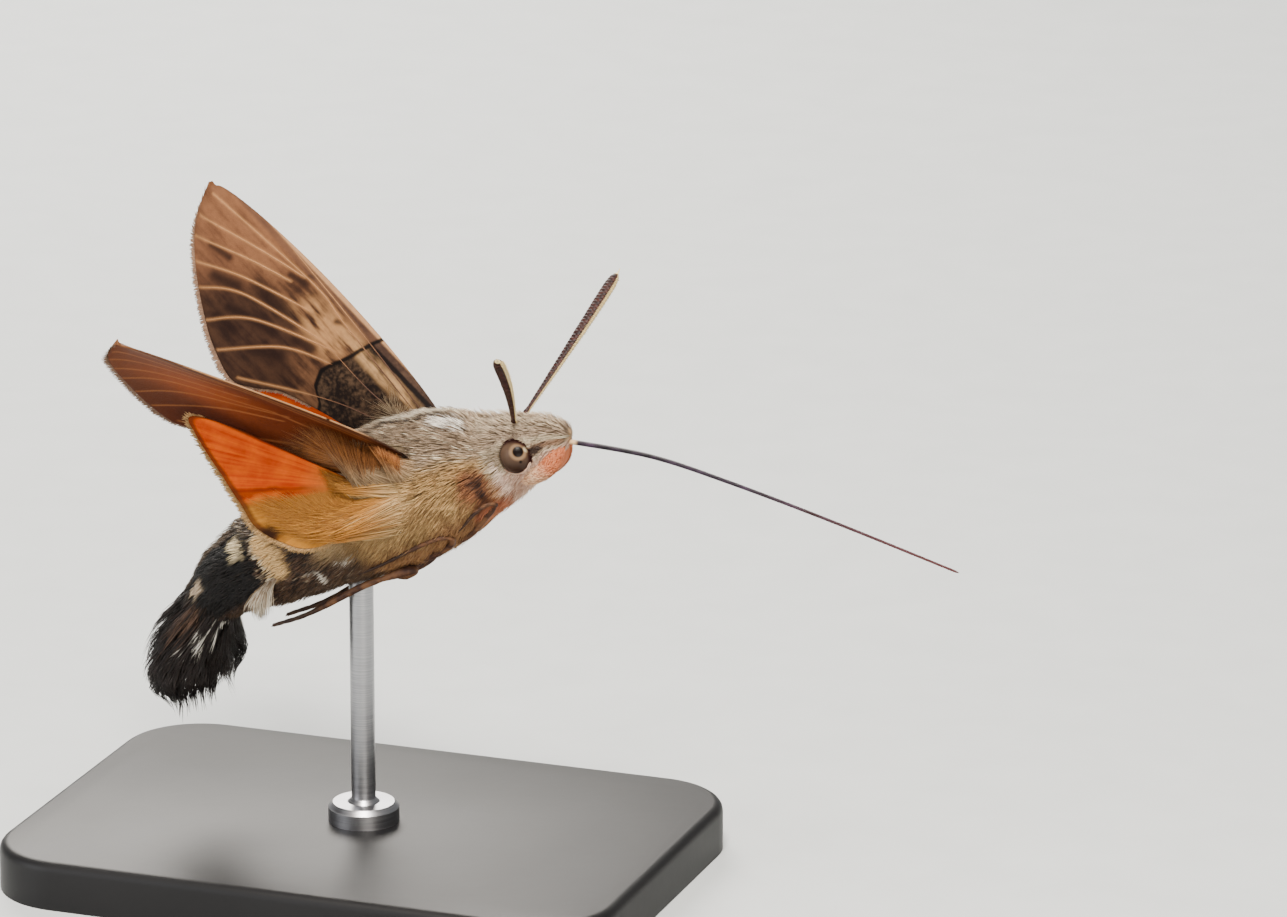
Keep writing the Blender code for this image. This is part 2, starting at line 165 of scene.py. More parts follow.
class Finish:
    """A material on the Principled shader, built up from wires."""

    def __init__(self, name, roughness, shine=0.5, metal=0.0):
        self.material = bpy.data.materials.new(name)
        self.material.use_nodes = True
        self.tree = self.material.node_tree
        self.shader = self.tree.nodes["Principled BSDF"]
        self.paint(Roughness=roughness, Specular_IOR_Level=shine, Metallic=metal)

    def node(self, kind, settings=None, inputs=None, output=0):
        made = self.tree.nodes.new(kind)
        for label, value in (settings or {}).items():
            setattr(made, label, value)
        for label, value in (inputs or {}).items():
            self.feed(made.inputs[label], value)
        return Wire(self.tree, made.outputs[output])

    def feed(self, slot, value):
        if isinstance(value, Wire):
            self.tree.links.new(value.socket, slot)
        else:
            slot.default_value = value

    def parts(self, name):
        """The three numbers of a vector that the mesh carries at each point."""
        whole = self.node("ShaderNodeAttribute", {"attribute_name": name}, output="Vector")
        return [self.node("ShaderNodeSeparateXYZ", None, {0: whole}, axis) for axis in range(3)]

    def number(self, name):
        return self.node("ShaderNodeAttribute", {"attribute_name": name}, output="Fac")

    def here(self):
        return self.node("ShaderNodeTexCoord", output="Object")

    def noise(self, scale, detail=3.0, vector=None, output=0):
        return self.node("ShaderNodeTexNoise", None,
                         {"Vector": vector or self.here(), "Scale": scale, "Detail": detail}, output)

    def mix(self, first, second, factor):
        """One colour over another: each is a wire or three numbers from 0 to 255."""
        made = self.tree.nodes.new("ShaderNodeMix")
        made.data_type = "RGBA"
        for slot, value in zip(MIX_SLOTS, (factor, first, second)):
            self.feed(made.inputs[slot], pigment(*value) if isinstance(value, tuple) else value)
        return Wire(self.tree, made.outputs[2])

    def layers(self, colour, marks):
        """Colours laid over one another in turn, each by a factor of its own."""
        for over, factor in marks:
            colour = self.mix(colour, over, factor)
        return colour

    def dim(self, colour, factor):
        """A colour made darker or lighter by a number."""
        grey = self.vector(factor, factor, factor)
        return self.node("ShaderNodeVectorMath", {"operation": "MULTIPLY"}, {0: colour, 1: grey})

    def vector(self, *numbers):
        return self.node("ShaderNodeCombineXYZ", None, dict(enumerate(numbers)))

    def distance(self, first, second):
        return self.node("ShaderNodeVectorMath", {"operation": "DISTANCE"}, {0: first, 1: second}, 1)

    def bump(self, height, distance, strength=1.0):
        return self.node("ShaderNodeBump", None,
                         {"Height": height, "Distance": distance, "Strength": strength})

    def paint(self, **sockets):
        for label, value in sockets.items():
            self.feed(self.shader.inputs[label.replace("_", " ")], value)


def keep(piece, slot, *nodes):
    """Ties a finished piece to the body and hides the nodes that it stands for. The slot is not used."""
    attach(piece, "root")
    if nodes:
        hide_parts(*nodes)


def link_mesh(name, mesh, material):
    mesh.materials.append(material)
    piece = bpy.data.objects.new(name, mesh)
    bpy.context.scene.collection.objects.link(piece)
    return piece


def mesh_from(bm, name):
    mesh = bpy.data.meshes.new(name)
    bm.to_mesh(mesh)
    bm.free()
    mesh.shade_smooth()
    return mesh


FLOOR_HALF_SIDE = 8.0       # in metres, so that no edge of it shows from any side
floor_finish = Finish("pale floor", 0.85)
floor_grain = floor_finish.noise(220.0)
floor_finish.paint(Base_Color=floor_finish.mix((202, 205, 205), (210, 213, 213), floor_grain))
bm = bmesh.new()
bmesh.ops.create_grid(bm, x_segments=1, y_segments=1, size=FLOOR_HALF_SIDE)
floor = link_mesh("floor", mesh_from(bm, "floor"), floor_finish.material)

# Skin of head, body and tail
# The moth's outer wall from the face to the root of the tail fan, one unbroken surface inside the
# coat. It is horn-like plates under scales, so it shows only as the dark ground between the hairs,
# painted with the coat's markings in the painted shade of the hair roots.
BODY = np.array((           # centre x and z from the thorax's middle, half width, half height, mm
    (10.12, 4.08, 0.15, 0.15), (9.93, 4.08, 0.75, 0.60), (9.48, 4.02, 1.15, 0.98),
    (8.82, 3.82, 1.50, 1.42), (7.95, 3.42, 1.80, 1.85), (7.08, 3.00, 1.95, 2.22),
    (6.05, 2.48, 2.05, 2.60), (4.90, 1.93, 2.50, 3.03), (3.00, 1.30, 3.35, 3.85),
    (0.80, 0.30, 3.90, 4.35), (-2.00, -1.10, 3.95, 4.45), (-4.60, -2.70, 3.75, 4.00),
    (-7.60, -4.55, 3.60, 3.45), (-10.15, -6.00, 3.45, 3.00), (-12.10, -7.35, 3.00, 2.45),
    (-13.40, -8.95, 2.50, 2.05), (-14.05, -10.70, 3.50, 2.35), (-14.40, -12.10, 4.35, 2.60),
    (-14.45, -13.40, 4.25, 2.40), (-14.20, -14.70, 2.70, 1.15)))
HEAD_END, NECK_END, THORAX_END = 6.45, 8.35, 10.65
MOTH_PLACE = np.array(THORAX)       # added to places that are counted from the thorax's middle
# How much of the coated body's radius the skin takes, by station
SKIN_STATIONS = (0.0, 2.0, 5.0, 6.5, 8.0, 10.6, 12.5, 14.3, 15.2, 16.5, 17.4)
SKIN_SHARES = (0.80, 0.84, 0.88, 0.84, 0.82, 0.85, 0.88, 0.84, 0.70, 0.48, 0.28)
SKIN_RINGS, NOSE_RINGS, NOSE_END = 84, 14, 2.0
SKIN_SIDES = 56
SKIN_SHADE = 0.35           # from 0 for the darkest scales to 1 for the palest
STATION_SPAN, ANGLE_SPAN = 20.0, 180.0      # what the marks that a mesh carries are divided by


def rows_at(rows, at):
    """Rows of numbers at fractional places along them, on a smooth curve through every row."""
    rows = np.asarray(rows, float)
    last = len(rows) - 1
    at = np.clip(np.atleast_1d(np.asarray(at, float)), 0, last)
    low = np.minimum(at.astype(int), last - 1)
    t = (at - low)[:, None]
    a, b, c, d = (rows[np.clip(low + step, 0, last)] for step in (-1, 0, 1, 2))
    return 0.5 * (2 * b + (c - a) * t + (2 * a - 5 * b + 4 * c - d) * t ** 2
                  + (3 * b - a - 3 * c + d) * t ** 3)


def body_run(station):
    """The way from tail to head at a station, as x and z."""
    ahead = rows_at(BODY, np.maximum(station - 0.25, 0))[:, :2]
    behind = rows_at(BODY, np.minimum(station + 0.25, len(BODY) - 1))[:, :2]
    run = ahead - behind
    return run / np.linalg.norm(run, axis=1)[:, None]


def body_points(station, degrees, share=1.0, beyond=0.0):
    """Points in metres round the body, counted in degrees from the middle of the underside, at a
    share of the coated body's radius and, past the tail's end, at a length beyond it in mm."""
    station = np.atleast_1d(np.asarray(station, float))
    x, z, wide, high = rows_at(BODY, station).T
    run = body_run(station)
    angle = np.radians(degrees)
    up = -np.cos(angle) * high * share
    side = np.sin(angle) * wide * share
    across = x - run[:, 1] * up - run[:, 0] * beyond
    above = z + run[:, 0] * up - run[:, 1] * beyond
    return columns(across + THORAX.x, side, above + THORAX.z) * MM


def columns(*parts):
    return np.stack(parts, axis=1)


def unit(vectors):
    return vectors / np.linalg.norm(vectors, axis=-1, keepdims=True)


def body_outward(station, degrees):
    return unit(body_points(station, degrees, 1.1) - body_points(station, degrees, 0.9))


def skin_share(station):
    return np.interp(station, SKIN_STATIONS, SKIN_SHARES)


def loft_mesh(rings, name):
    """A closed smooth skin through rings of points, flat at both ends."""
    bm = bmesh.new()
    loops = []
    for ring in rings:
        corners = [bm.verts.new(Vector(point)) for point in ring]
        loops.append([bm.edges.new(pair) for pair in zip(corners, corners[1:] + corners[:1])])
    for front, back in zip(loops, loops[1:]):
        bmesh.ops.bridge_loops(bm, edges=front + back)
    bmesh.ops.holes_fill(bm, edges=bm.edges[:], sides=0)
    bmesh.ops.recalc_face_normals(bm, faces=bm.faces[:])
    return mesh_from(bm, name)


def carry(mesh, name, values):
    """Gives each point of a mesh a number, or a row of three."""
    values = np.asarray(values, np.float32)
    kind, field = ("FLOAT", "value") if values.ndim == 1 else ("FLOAT_VECTOR", "vector")
    mesh.attributes.new(name, kind, "POINT").data.foreach_set(field, values.ravel())


def coat_colours(finish):
    """The moth's markings, from the station and the angle that skin and coat both carry."""
    place, round_share, along = finish.parts("coat")
    shade = finish.number("shade")
    cloud = finish.noise(420.0, 3.0) - 0.5
    fine = finish.noise(1500.0, 2.0) - 0.5
    s = place * STATION_SPAN + cloud * 0.9
    a = round_share * ANGLE_SPAN + cloud * 34
    mix = finish.mix

    def spot(s_low, s_high, a_low, a_high, s_soft=0.2, a_soft=8.0):
        return s.between(s_low, s_high, s_soft) * a.between(a_low, a_high, a_soft)

    # thorax
    dorsal = mix((118, 99, 82), (192, 172, 148), shade)
    side = mix((150, 118, 78), (202, 172, 124), shade)
    colour = mix(side, dorsal, a.rise(92, 118))
    colour = finish.layers(colour, (
        (mix((128, 90, 60), (184, 146, 104), shade), 1 - a.rise(34, 60)),
        ((226, 214, 190), a.rise(100, 112) * shade.rise(0.86, 0.92)),
        (mix((92, 50, 34), (176, 118, 82), shade), spot(6.7, 7.7, 30, 92) * 0.85),
        ((62, 38, 30), spot(6.95, 7.3, 50, 86, 0.12, 5.0) * shade.rise(0.2, 0.5)),
        ((206, 138, 108), spot(6.2, 7.7, 0, 40, 0.3, 8.0) * 0.65),
        # A near-white patch on each shoulder: partly pale hair, partly a painted highlight where the
        # glossy hair shines.
        ((255, 250, 240), spot(7.15, 7.95, 143, 164, 0.12, 4.0) * shade.rise(0.32, 0.62)),
        ((46, 36, 32), spot(7.6, 9.5, 163, 172, 0.25, 2.5) * 0.9),
        ((214, 204, 184), a.rise(173, 176) * spot(7.4, 9.4, 0, 200, 0.25, 3.0) * 0.7)))
    # head
    crown = mix((128, 108, 92), (206, 186, 162), shade)
    # Painted highlight: the tips of the crest's tufts on the crown are painted paler, as if lit from
    # behind.
    crown = mix(crown, (222, 210, 184), along.rise(0.45, 1.0) * a.rise(128, 150) * 0.5)
    face = mix((172, 154, 128), (224, 212, 188), shade)
    throat = mix((190, 150, 128), (230, 206, 186), shade)
    head = mix(throat, mix(face, crown, a.rise(108, 124)), a.rise(62, 80))
    head = finish.layers(head, (
        ((150, 112, 86), spot(1.3, 4.2, 78, 100, 0.4, 5.0) * 0.8),
        ((50, 28, 22), spot(3.0, 4.9, 78, 96, 0.4, 5.0) * 0.9),
        ((112, 88, 66), spot(5.3, 6.3, 76, 112, 0.2, 8.0) * 0.6),
        ((226, 206, 190), spot(6.0, 6.35, 44, 92, 0.10, 8.0) * 0.7),
        ((200, 170, 134), 1 - s.rise(0.5, 1.1))))
    colour = mix(head, colour, s.rise(6.35, 6.85))
    # abdomen
    back = mix((54, 42, 35), (122, 106, 88), shade)
    flank = mix((38, 27, 21), (116, 90, 68), shade)
    belly = mix((68, 52, 40), (122, 100, 78), shade)
    abdomen = mix(belly, mix(flank, back, a.rise(100, 124)), a.rise(26, 48))
    abdomen = finish.layers(abdomen, (
        ((186, 174, 152), shade.rise(0.88, 0.93) * 0.45),
        ((198, 172, 130), spot(10.6, 11.35, 66, 112, 0.3, 14.0) * 0.7),
        ((30, 22, 19), spot(11.4, 11.85, 84, 118, 0.12, 6.0) * 0.9),
        ((226, 218, 204), spot(11.5, 11.62, 42, 58, 0.04, 3.0) * 0.9),
        ((226, 218, 204), spot(10.8, 10.9, 54, 62, 0.04, 2.0) * 0.8),
        ((222, 190, 140), spot(11.95, 12.4, 70, 126, 0.10, 6.0)),
        ((226, 212, 186), spot(12.38, 12.5, 66, 130, 0.06, 6.0) * shade.rise(0.25, 0.6)),
        ((26, 19, 17), spot(12.58, 12.78, 64, 132, 0.08, 6.0)),
        ((20, 15, 13), spot(12.72, 14.9, 48, 150, 0.12, 8.0) * 0.96),
        ((222, 206, 172), spot(12.8, 13.08, 112, 140, 0.08, 5.0)),
        ((206, 188, 164), spot(14.25, 14.75, 108, 126, 0.1, 5.0) * shade.rise(0.2, 0.5))))
    colour = mix(colour, abdomen, s.rise(10.3, 10.9))
    # tail fan
    tail = mix((14, 10, 9), (50, 38, 32), shade)
    tail = finish.layers(tail, (
        ((118, 94, 78), spot(14.4, 15.9, 84, 118, 0.2, 8.0) * shade.rise(0.35, 0.8) * 0.8),
        ((242, 238, 228), spot(15.75, 16.05, 64, 84, 0.08, 4.0)),
        ((242, 238, 228), spot(15.15, 15.5, 24, 44, 0.08, 4.0))))
    colour = mix(colour, tail, s.rise(14.7, 15.1))
    # Painted shade: each tuft is painted darker towards its root, and the skin darkest, as shade down in
    # the coat. The fine noise is the scales' own uneven tone.
    return finish.dim(colour, 0.55 + along * 0.5 + fine * 0.22)


coat = Finish("coat of scales and hair", 0.6, 0.3)
coat.paint(Base_Color=coat_colours(coat))

skin_stations = np.concatenate((np.linspace(0, NOSE_END, NOSE_RINGS),
                                np.linspace(NOSE_END, SKIN_STATIONS[-1], SKIN_RINGS)[1:]))
skin_angles = np.arange(SKIN_SIDES) * 360.0 / SKIN_SIDES
skin_rings = [body_points(np.full(SKIN_SIDES, station), skin_angles, skin_share(station))
              for station in skin_stations]
skin_mesh = loft_mesh(skin_rings, "skin")
skin_marks = np.zeros((len(skin_stations), SKIN_SIDES, 3))
skin_marks[..., 0] = skin_stations[:, None] / STATION_SPAN
skin_marks[..., 1] = np.minimum(skin_angles, 360 - skin_angles) / ANGLE_SPAN
carry(skin_mesh, "coat", skin_marks.reshape(-1, 3))
carry(skin_mesh, "shade", np.full(len(skin_stations) * SKIN_SIDES, SKIN_SHADE))
skin = link_mesh("skin", skin_mesh, coat.material)
keep(skin, "thorax_coat", "head", "neck", "thorax", "abdomen_1", "abdomen_2", "abdomen_3",
     "abdomen_4", "abdomen_5", "abdomen_6", "tail_fan")

# Coat of head, body and tail
# Hair-like scales set in the skin, lying back towards the tail: short on the face, long on the
# thorax, flat on the abdomen and strap-like in the tail fan. Each tuft is a thin tapered blade.
EYE_RADIUS = 1.08
EYE_CENTRE = (7.14, 1.28, 2.95)
LENGTH_STATIONS = np.linspace(0, len(BODY) - 1, 500)
LENGTHS = np.concatenate(((0,), np.cumsum(np.linalg.norm(
    np.diff(rows_at(BODY, LENGTH_STATIONS)[:, :2], axis=0), axis=1))))
TUFT_AT = (0.0, 0.36, 0.72, 1.0)            # where a tuft's rings and its tip are along it
TUFT_WIDTH = (1.0, 0.9, 0.55)
TUFT_RISE = (0.0, 0.52, 0.86, 1.0)
TUFT_FACES = ((0, 1, 4, 3), (1, 2, 5, 4), (2, 0, 3, 5), (3, 4, 7, 6), (4, 5, 8, 7), (5, 3, 6, 8),
              (6, 7, 9), (7, 8, 9), (8, 6, 9), (0, 2, 1))
BAKE_PATCH = 0.003
ROOT_DEPTH = 0.02           # how far a root is sunk in the skin, as a share of the body's radius
SHOWN_AT = 0.6              # the place along a tuft whose marking the whole tuft takes
CLUMP_TURN, LOOSE_TURN = 26.0, 7.0          # degrees by which clumps and single tufts lie askew
CLUMP_RADIUS = 3.2          # the body's usual radius, for clumps of even width
CLUMP_STAGGER = 19.0        # degrees by which one ring of clumps is turned from the next


def to_length(station):
    return np.interp(station, LENGTH_STATIONS, LENGTHS)


def to_station(length):
    return np.interp(length, LENGTHS, LENGTH_STATIONS)


def blades(name, slot, centres, outward, width, flat, unwrap, marks, shades, material, *nodes):
    """One mesh of many closed blades: each has three rings of three points and a tip, placed by
    four points of its centre line, and its middle stands up by a share of its width."""
    run = unit(centres[:, 3] - centres[:, 0])
    across = unit(np.cross(run, outward))
    ridge = np.cross(across, run)
    half = (width * MM / 2)[:, None, None] * np.array(TUFT_WIDTH)[None, :, None]
    left = centres[:, :3] - across[:, None] * half
    right = centres[:, :3] + across[:, None] * half
    top = centres[:, :3] + ridge[:, None] * half * 2 * flat
    count = len(centres)
    rings = np.stack((left, right, top), axis=2).reshape(count, 9, 3)
    points = np.concatenate((rings, centres[:, 3:]), axis=1)
    corners = np.concatenate([np.array(face) for face in TUFT_FACES])
    sizes = np.array([len(face) for face in TUFT_FACES])
    loops = (corners[None] + (np.arange(count) * 10)[:, None]).ravel()
    starts = np.cumsum(np.tile(sizes, count)) - np.tile(sizes, count)
    mesh = bpy.data.meshes.new(name)
    mesh.vertices.add(count * 10)
    mesh.vertices.foreach_set("co", points.astype(np.float32).ravel())
    mesh.loops.add(len(loops))
    mesh.loops.foreach_set("vertex_index", loops.astype(np.int32))
    mesh.polygons.add(count * len(sizes))
    mesh.polygons.foreach_set("loop_start", starts.astype(np.int32))
    mesh.update(calc_edges=True)
    ramp = np.array((0.0, 0.0, 0.0, 0.4, 0.4, 0.4, 0.8, 0.8, 0.8, 1.0))
    sideways = np.array((-1.0, 1.0, 0.0, -1.0, 1.0, 0.0, -1.0, 1.0, 0.0, 0.0))
    patch = columns(ramp - 0.5, sideways * 0.5) * BAKE_PATCH
    uv = np.clip(unwrap[:, None] + patch, 0.001, 0.999).reshape(-1, 2)
    bake = mesh.uv_layers.new(name="OFBake")
    bake.data.foreach_set("uv", uv[loops].astype(np.float32).ravel())
    marked = np.repeat(marks, 10, axis=0)
    carry(mesh, "coat", columns(marked[:, 0], marked[:, 1], np.tile(ramp, count)))
    carry(mesh, "shade", np.repeat(shades, 10))
    mesh.shade_smooth()
    keep(link_mesh(name, mesh, material), slot, *nodes)


def clear_of_eyes(points):
    centre = (np.array(EYE_CENTRE) + MOTH_PLACE) * MM
    mirrored = points * (1, 0, 1) + np.abs(points) * (0, 1, 0)
    return np.linalg.norm(mirrored - centre, axis=-1) > (EYE_RADIUS + 0.02) * MM


def scatter(first, last, low, high, spacing, seed):
    """Roots spread evenly, by a spacing in mm, over the body from the first to the last station and
    from the low to the high angle of either side, as stations and signed angles."""
    random = np.random.default_rng(seed)
    stations, degrees = [], []
    for length in np.arange(*to_length((first, last)), spacing):
        station = to_station(length)
        wide, tall = rows_at(BODY, station)[0, 2:] * skin_share(station)
        count = max(int(math.tau * math.hypot(wide, tall) / math.sqrt(2) / spacing), 3)
        angle = (np.arange(count) + random.uniform(-0.45, 0.45, count)) * 360 / count - 180
        inside = (np.abs(angle) >= low) & (np.abs(angle) <= high)
        jitter = random.uniform(-0.5, 0.5, count) * spacing
        stations.append(to_station(length + jitter)[inside])
        degrees.append(angle[inside])
    return np.concatenate(stations), np.concatenate(degrees)


def clump(stations, degrees, size, seed):
    """A random number from 0 to 1 that all tufts of one small clump share, and the degrees from
    each tuft to its clump's middle."""
    ring = np.floor(to_length(stations) / size)
    turned = degrees + (ring % 3) * CLUMP_STAGGER
    cell = np.floor(np.radians(turned) * CLUMP_RADIUS / size)
    middle = np.degrees((cell + 0.5) * size / CLUMP_RADIUS)
    shared = np.modf(np.abs(np.sin((ring * 131 + cell * 17) * 12.9898 + seed) * 43758.5453))[0]
    return shared, middle - turned


def grow(name, slot, roots, length, width, tip, turn, seed, span, flat=0.35, size=0.55, stray=0.05,
         gather=0.2):
    """Tufts at the roots: length and width in mm, tip as a share of the coated body's radius, turn
    in degrees from straight back towards the middle of the back, span as the stations that the
    unwrap covers, size as a clump's in mm, stray as the spread of the clumps' tips, and gather as
    the share by which the tips of a clump draw together."""
    random = np.random.default_rng(seed)
    stations, degrees = roots
    count = len(stations)
    together, to_middle = clump(stations, degrees, size, seed)
    shades = 0.45 * together + 0.55 * random.random(count) + random.normal(0, 0.08, count)
    length = length * random.uniform(0.75, 1.2, count)
    width = width * random.uniform(0.8, 1.25, count)
    turn = np.radians(turn + (together - 0.5) * CLUMP_TURN + random.normal(0, LOOSE_TURN, count))
    tip = tip + (together - 0.5) * stray + random.normal(0, 0.015, count)
    root_share = skin_share(stations) - ROOT_DEPTH
    root_length = to_length(stations)
    girth = np.linalg.norm(rows_at(BODY, stations)[:, 2:], axis=1) / math.sqrt(2)
    centres = []
    for at, rise in zip(TUFT_AT, TUFT_RISE):
        reach = root_length + length * at * np.cos(turn)
        swing = np.degrees(length * at * np.sin(turn) / girth) * np.sign(degrees)
        swing = swing + to_middle * gather * at
        share = root_share + (tip - root_share) * rise
        beyond = np.maximum(reach - LENGTHS[-1], 0)
        centres.append(body_points(to_station(reach), degrees + swing, share, beyond))
    centres = np.stack(centres, axis=1)
    free = clear_of_eyes(centres).all(axis=1)
    first, last = to_length(span)
    along = (root_length - first) / (last - first) * 0.98 + 0.01
    unwrap = columns(along, degrees / 360 + 0.5)
    shown = to_station(root_length + length * SHOWN_AT * np.cos(turn))
    shown_swing = np.degrees(length * SHOWN_AT * np.sin(turn) / girth) * np.sign(degrees)
    marks = columns(shown / STATION_SPAN, np.abs(degrees + shown_swing) / ANGLE_SPAN)
    blades(name, slot, centres[free], body_outward(stations, degrees)[free], width[free], flat,
           unwrap[free], marks[free], np.clip(shades, 0, 1)[free], coat.material)


# Face, crown, cheeks and throat
roots = scatter(0.15, HEAD_END + 0.1, 0, 180, 0.084, 11)
head_length = np.interp(roots[0], (0, 1.5, 4, 6.5), (0.36, 0.36, 0.42, 0.7))
crest = np.clip((np.abs(roots[1]) - 112) / 30, 0, 1)
head_tip = np.interp(roots[0], (0, 2, 4, 6.5), (1.20, 1.03, 0.99, 1.0)) + crest * 0.07
grow("coat_head", "head_coat", roots, length=head_length, width=0.062, tip=head_tip, turn=0.0,
     seed=12, span=(0, 6.6), size=0.4, stray=0.06 + crest * 0.16)

# Neck ruff and shoulders
roots = scatter(HEAD_END - 0.1, NECK_END, 0, 180, 0.097, 21)
downward = -14 * np.exp(-((np.abs(roots[1]) - 70) / 40) ** 2)
grow("coat_neck", "thorax_coat", roots, length=0.95, width=0.082, tip=1.0, turn=downward, seed=22,
     span=(6.3, 8.5))

# Back and sides of the thorax
roots = scatter(NECK_END - 0.1, THORAX_END + 0.15, 88, 180, 0.092, 31)
grow("coat_thorax_back", "thorax_coat", roots, length=1.45, width=0.07, tip=1.0, turn=4.0, seed=32,
     span=(8.2, 10.9))

# Breast and flanks, with longer hair that fans down and back
roots = scatter(NECK_END - 0.1, THORAX_END + 0.15, 0, 88, 0.094, 41)
grow("coat_breast", "thorax_coat", roots, length=1.6, width=0.072, tip=1.01, turn=-22.0, seed=42,
     span=(8.2, 10.9))

# Abdomen, front and rear
roots = scatter(THORAX_END, 12.7, 0, 180, 0.125, 51)
abdomen_length = np.interp(roots[0], (10.6, 11.4, 12.7), (1.3, 0.85, 0.8))
grow("coat_abdomen_front", "abdomen_coat", roots, length=abdomen_length, width=0.135, tip=0.985,
     turn=0.0, seed=52, span=(10.6, 12.8), flat=0.25)
roots = scatter(12.6, 14.9, 0, 180, 0.115, 61)
flank = np.exp(-((np.abs(roots[1]) - 95) / 38) ** 2)
rear_tip = np.interp(roots[0], (12.6, 13.6, 14.9), (0.97, 0.97, 0.86)) + flank * 0.04
grow("coat_abdomen_rear", "abdomen_coat", roots, length=0.8 + flank * 0.35, width=0.13,
     tip=rear_tip, turn=0.0, seed=62, span=(12.5, 15.0), flat=0.25, size=0.6, stray=0.12)

# Tail fan of long straps in three lobes
roots = scatter(14.6, 17.35, 0, 180, 0.085, 71)
fan_clump = clump(*roots, 0.7, 72)[0]
fan_length = np.interp(roots[0], (14.6, 16, 17.35), (1.9, 2.5, 2.3)) * (0.5 + 0.95 * fan_clump)
fan_tip = np.interp(roots[0], (14.6, 15.4, 16.4), (0.74, 0.86, 0.98))
fan_tip = fan_tip + np.abs(roots[1]) / 180 * 0.24 - 0.1
grow("coat_tail_fan", "tail_coat", roots, length=fan_length, width=0.105, tip=fan_tip, turn=0.0,
     seed=72, span=(14.5, 17.5), flat=0.2, size=0.7, stray=0.6, gather=0.9)

# Eyes
# Each compound eye is a dome of tiny lenses set in a dark rim, with short scales lapping its edge.
# The dark spots, where the real lenses look straight out, are painted on in fixed places.
EYE_RIM = 0.05
EYE_SPOTS = (               # right and up from the eye's middle as the photo shows it, radius, mm
    ((0.06, 0.20), 0.35), ((0.22, -0.42), 0.10), ((0.90, -0.10), 0.32))
EYE_PATCH = ((0.55, 0.38), 0.20)
SIDES = (("left", 1), ("right", -1))
EYE_FACETS = 24000.0        # lenses to the metre
LID_SCALES = 240
eye_middle = (Vector(EYE_CENTRE) + THORAX) * MM


def on_eye(right, up):
    """A place on the right eye, from right and up of its middle in the view, folded to the left."""
    out = math.sqrt(EYE_RADIUS ** 2 - right ** 2 - up ** 2)
    offset = (view_right * right + view_up * up + view_back * out) * MM
    return Vector((eye_middle.x + offset.x, eye_middle.y - offset.y, eye_middle.z + offset.z))


lens = Finish("compound eye", 0.32, 0.1)
folded = lens.node("ShaderNodeVectorMath", {"operation": "ABSOLUTE"}, {0: lens.here()})
height = lens.node("ShaderNodeSeparateXYZ", None, {0: folded}, 2) * 1000
mottle = lens.noise(900.0, 3.0) - 0.5
eye_height = eye_middle.z / MM
lens_colour = lens.mix((68, 50, 42), (104, 86, 72),
                       (height + mottle * 0.5).rise(eye_height - 0.9, eye_height + 0.7))
first_spot = lens.distance(folded, on_eye(*EYE_SPOTS[0][0])) * 1000 + mottle * 0.12
lens_colour = lens.mix(lens_colour, (146, 122, 98), 1 - first_spot.rise(0.44, 0.64))
patch_place, patch_radius = EYE_PATCH
patch = lens.distance(folded, on_eye(*patch_place)) * 1000 + mottle * 0.2
lens_colour = lens.mix(lens_colour, (224, 208, 174),
                       1 - patch.rise(patch_radius - 0.1, patch_radius + 0.1))
for spot_place, spot_radius in EYE_SPOTS:
    away = lens.distance(folded, on_eye(*spot_place)) * 1000
    lens_colour = lens.mix(lens_colour, (30, 17, 13),
                           1 - away.rise(spot_radius - 0.07, spot_radius + 0.05))
pole = Vector((eye_middle.x, eye_middle.y + EYE_RADIUS * MM, eye_middle.z))
from_pole = lens.distance(folded, pole) * 1000
lens_colour = lens.mix(lens_colour, (58, 30, 28), from_pole.rise(0.9, 1.22))
facets = lens.node("ShaderNodeTexVoronoi", {"feature": "F1"},
                   {"Vector": lens.here(), "Scale": EYE_FACETS})
lens.paint(Base_Color=lens_colour, Normal=lens.bump(1 - facets, 0.000003, 0.6))
for label, side in SIDES:
    middle = Vector((eye_middle.x, eye_middle.y * side, eye_middle.z))
    bm = bmesh.new()
    bmesh.ops.create_icosphere(bm, subdivisions=5, radius=EYE_RADIUS * MM)
    bmesh.ops.scale(bm, verts=bm.verts[:], vec=(0.98, 1.0, 1.0))
    bmesh.ops.translate(bm, verts=bm.verts[:], vec=middle)
    # The rim: a thin ring spun round the eye where the face meets it
    ring_at = middle + Vector((0, 0.30 * side * MM, EYE_RADIUS * 0.985 * MM))
    ring_place = Matrix.Translation(ring_at) @ Matrix.Rotation(math.pi / 2, 4, "Y")
    ring = bmesh.ops.create_circle(bm, segments=8, radius=EYE_RIM * MM, matrix=ring_place)["verts"]
    ring_edges = list(dict.fromkeys(edge for vert in ring for edge in vert.link_edges))
    bmesh.ops.spin(bm, geom=ring + ring_edges, cent=middle, axis=(0, 1, 0), angle=math.tau, steps=64,
                   use_merge=True)
    bmesh.ops.recalc_face_normals(bm, faces=bm.faces[:])
    eye = link_mesh("eye_dome_" + label, mesh_from(bm, "eye"), lens.material)
    keep(eye, "eye", "eye_" + label)


def lay(name, slot, roots, heading, outward, length, width, lift, unwrap, marks, seed, material,
        flat=0.35, stray=8.0):
    """Tufts from roots in metres that lie along headings of their own and rise by a lift in mm,
    with stray as the spread of the headings in degrees."""
    random = np.random.default_rng(seed)
    count = len(roots)
    length = length * random.uniform(0.75, 1.2, count)
    width = width * random.uniform(0.8, 1.25, count)
    aside = np.cross(heading, outward) * np.tan(np.radians(random.normal(0, stray, count)))[:, None]
    heading = unit(heading + aside)
    lift = lift * random.uniform(0.7, 1.3, count)
    shades = np.clip(random.normal(0.5, 0.25, count), 0, 1)
    centres = np.stack([roots + heading * (length * at * MM)[:, None]
                        + outward * (lift * rise * MM)[:, None]
                        for at, rise in zip(TUFT_AT, TUFT_RISE)], axis=1)
    blades(name, slot, centres, outward, width, flat, unwrap, marks, shades, material)


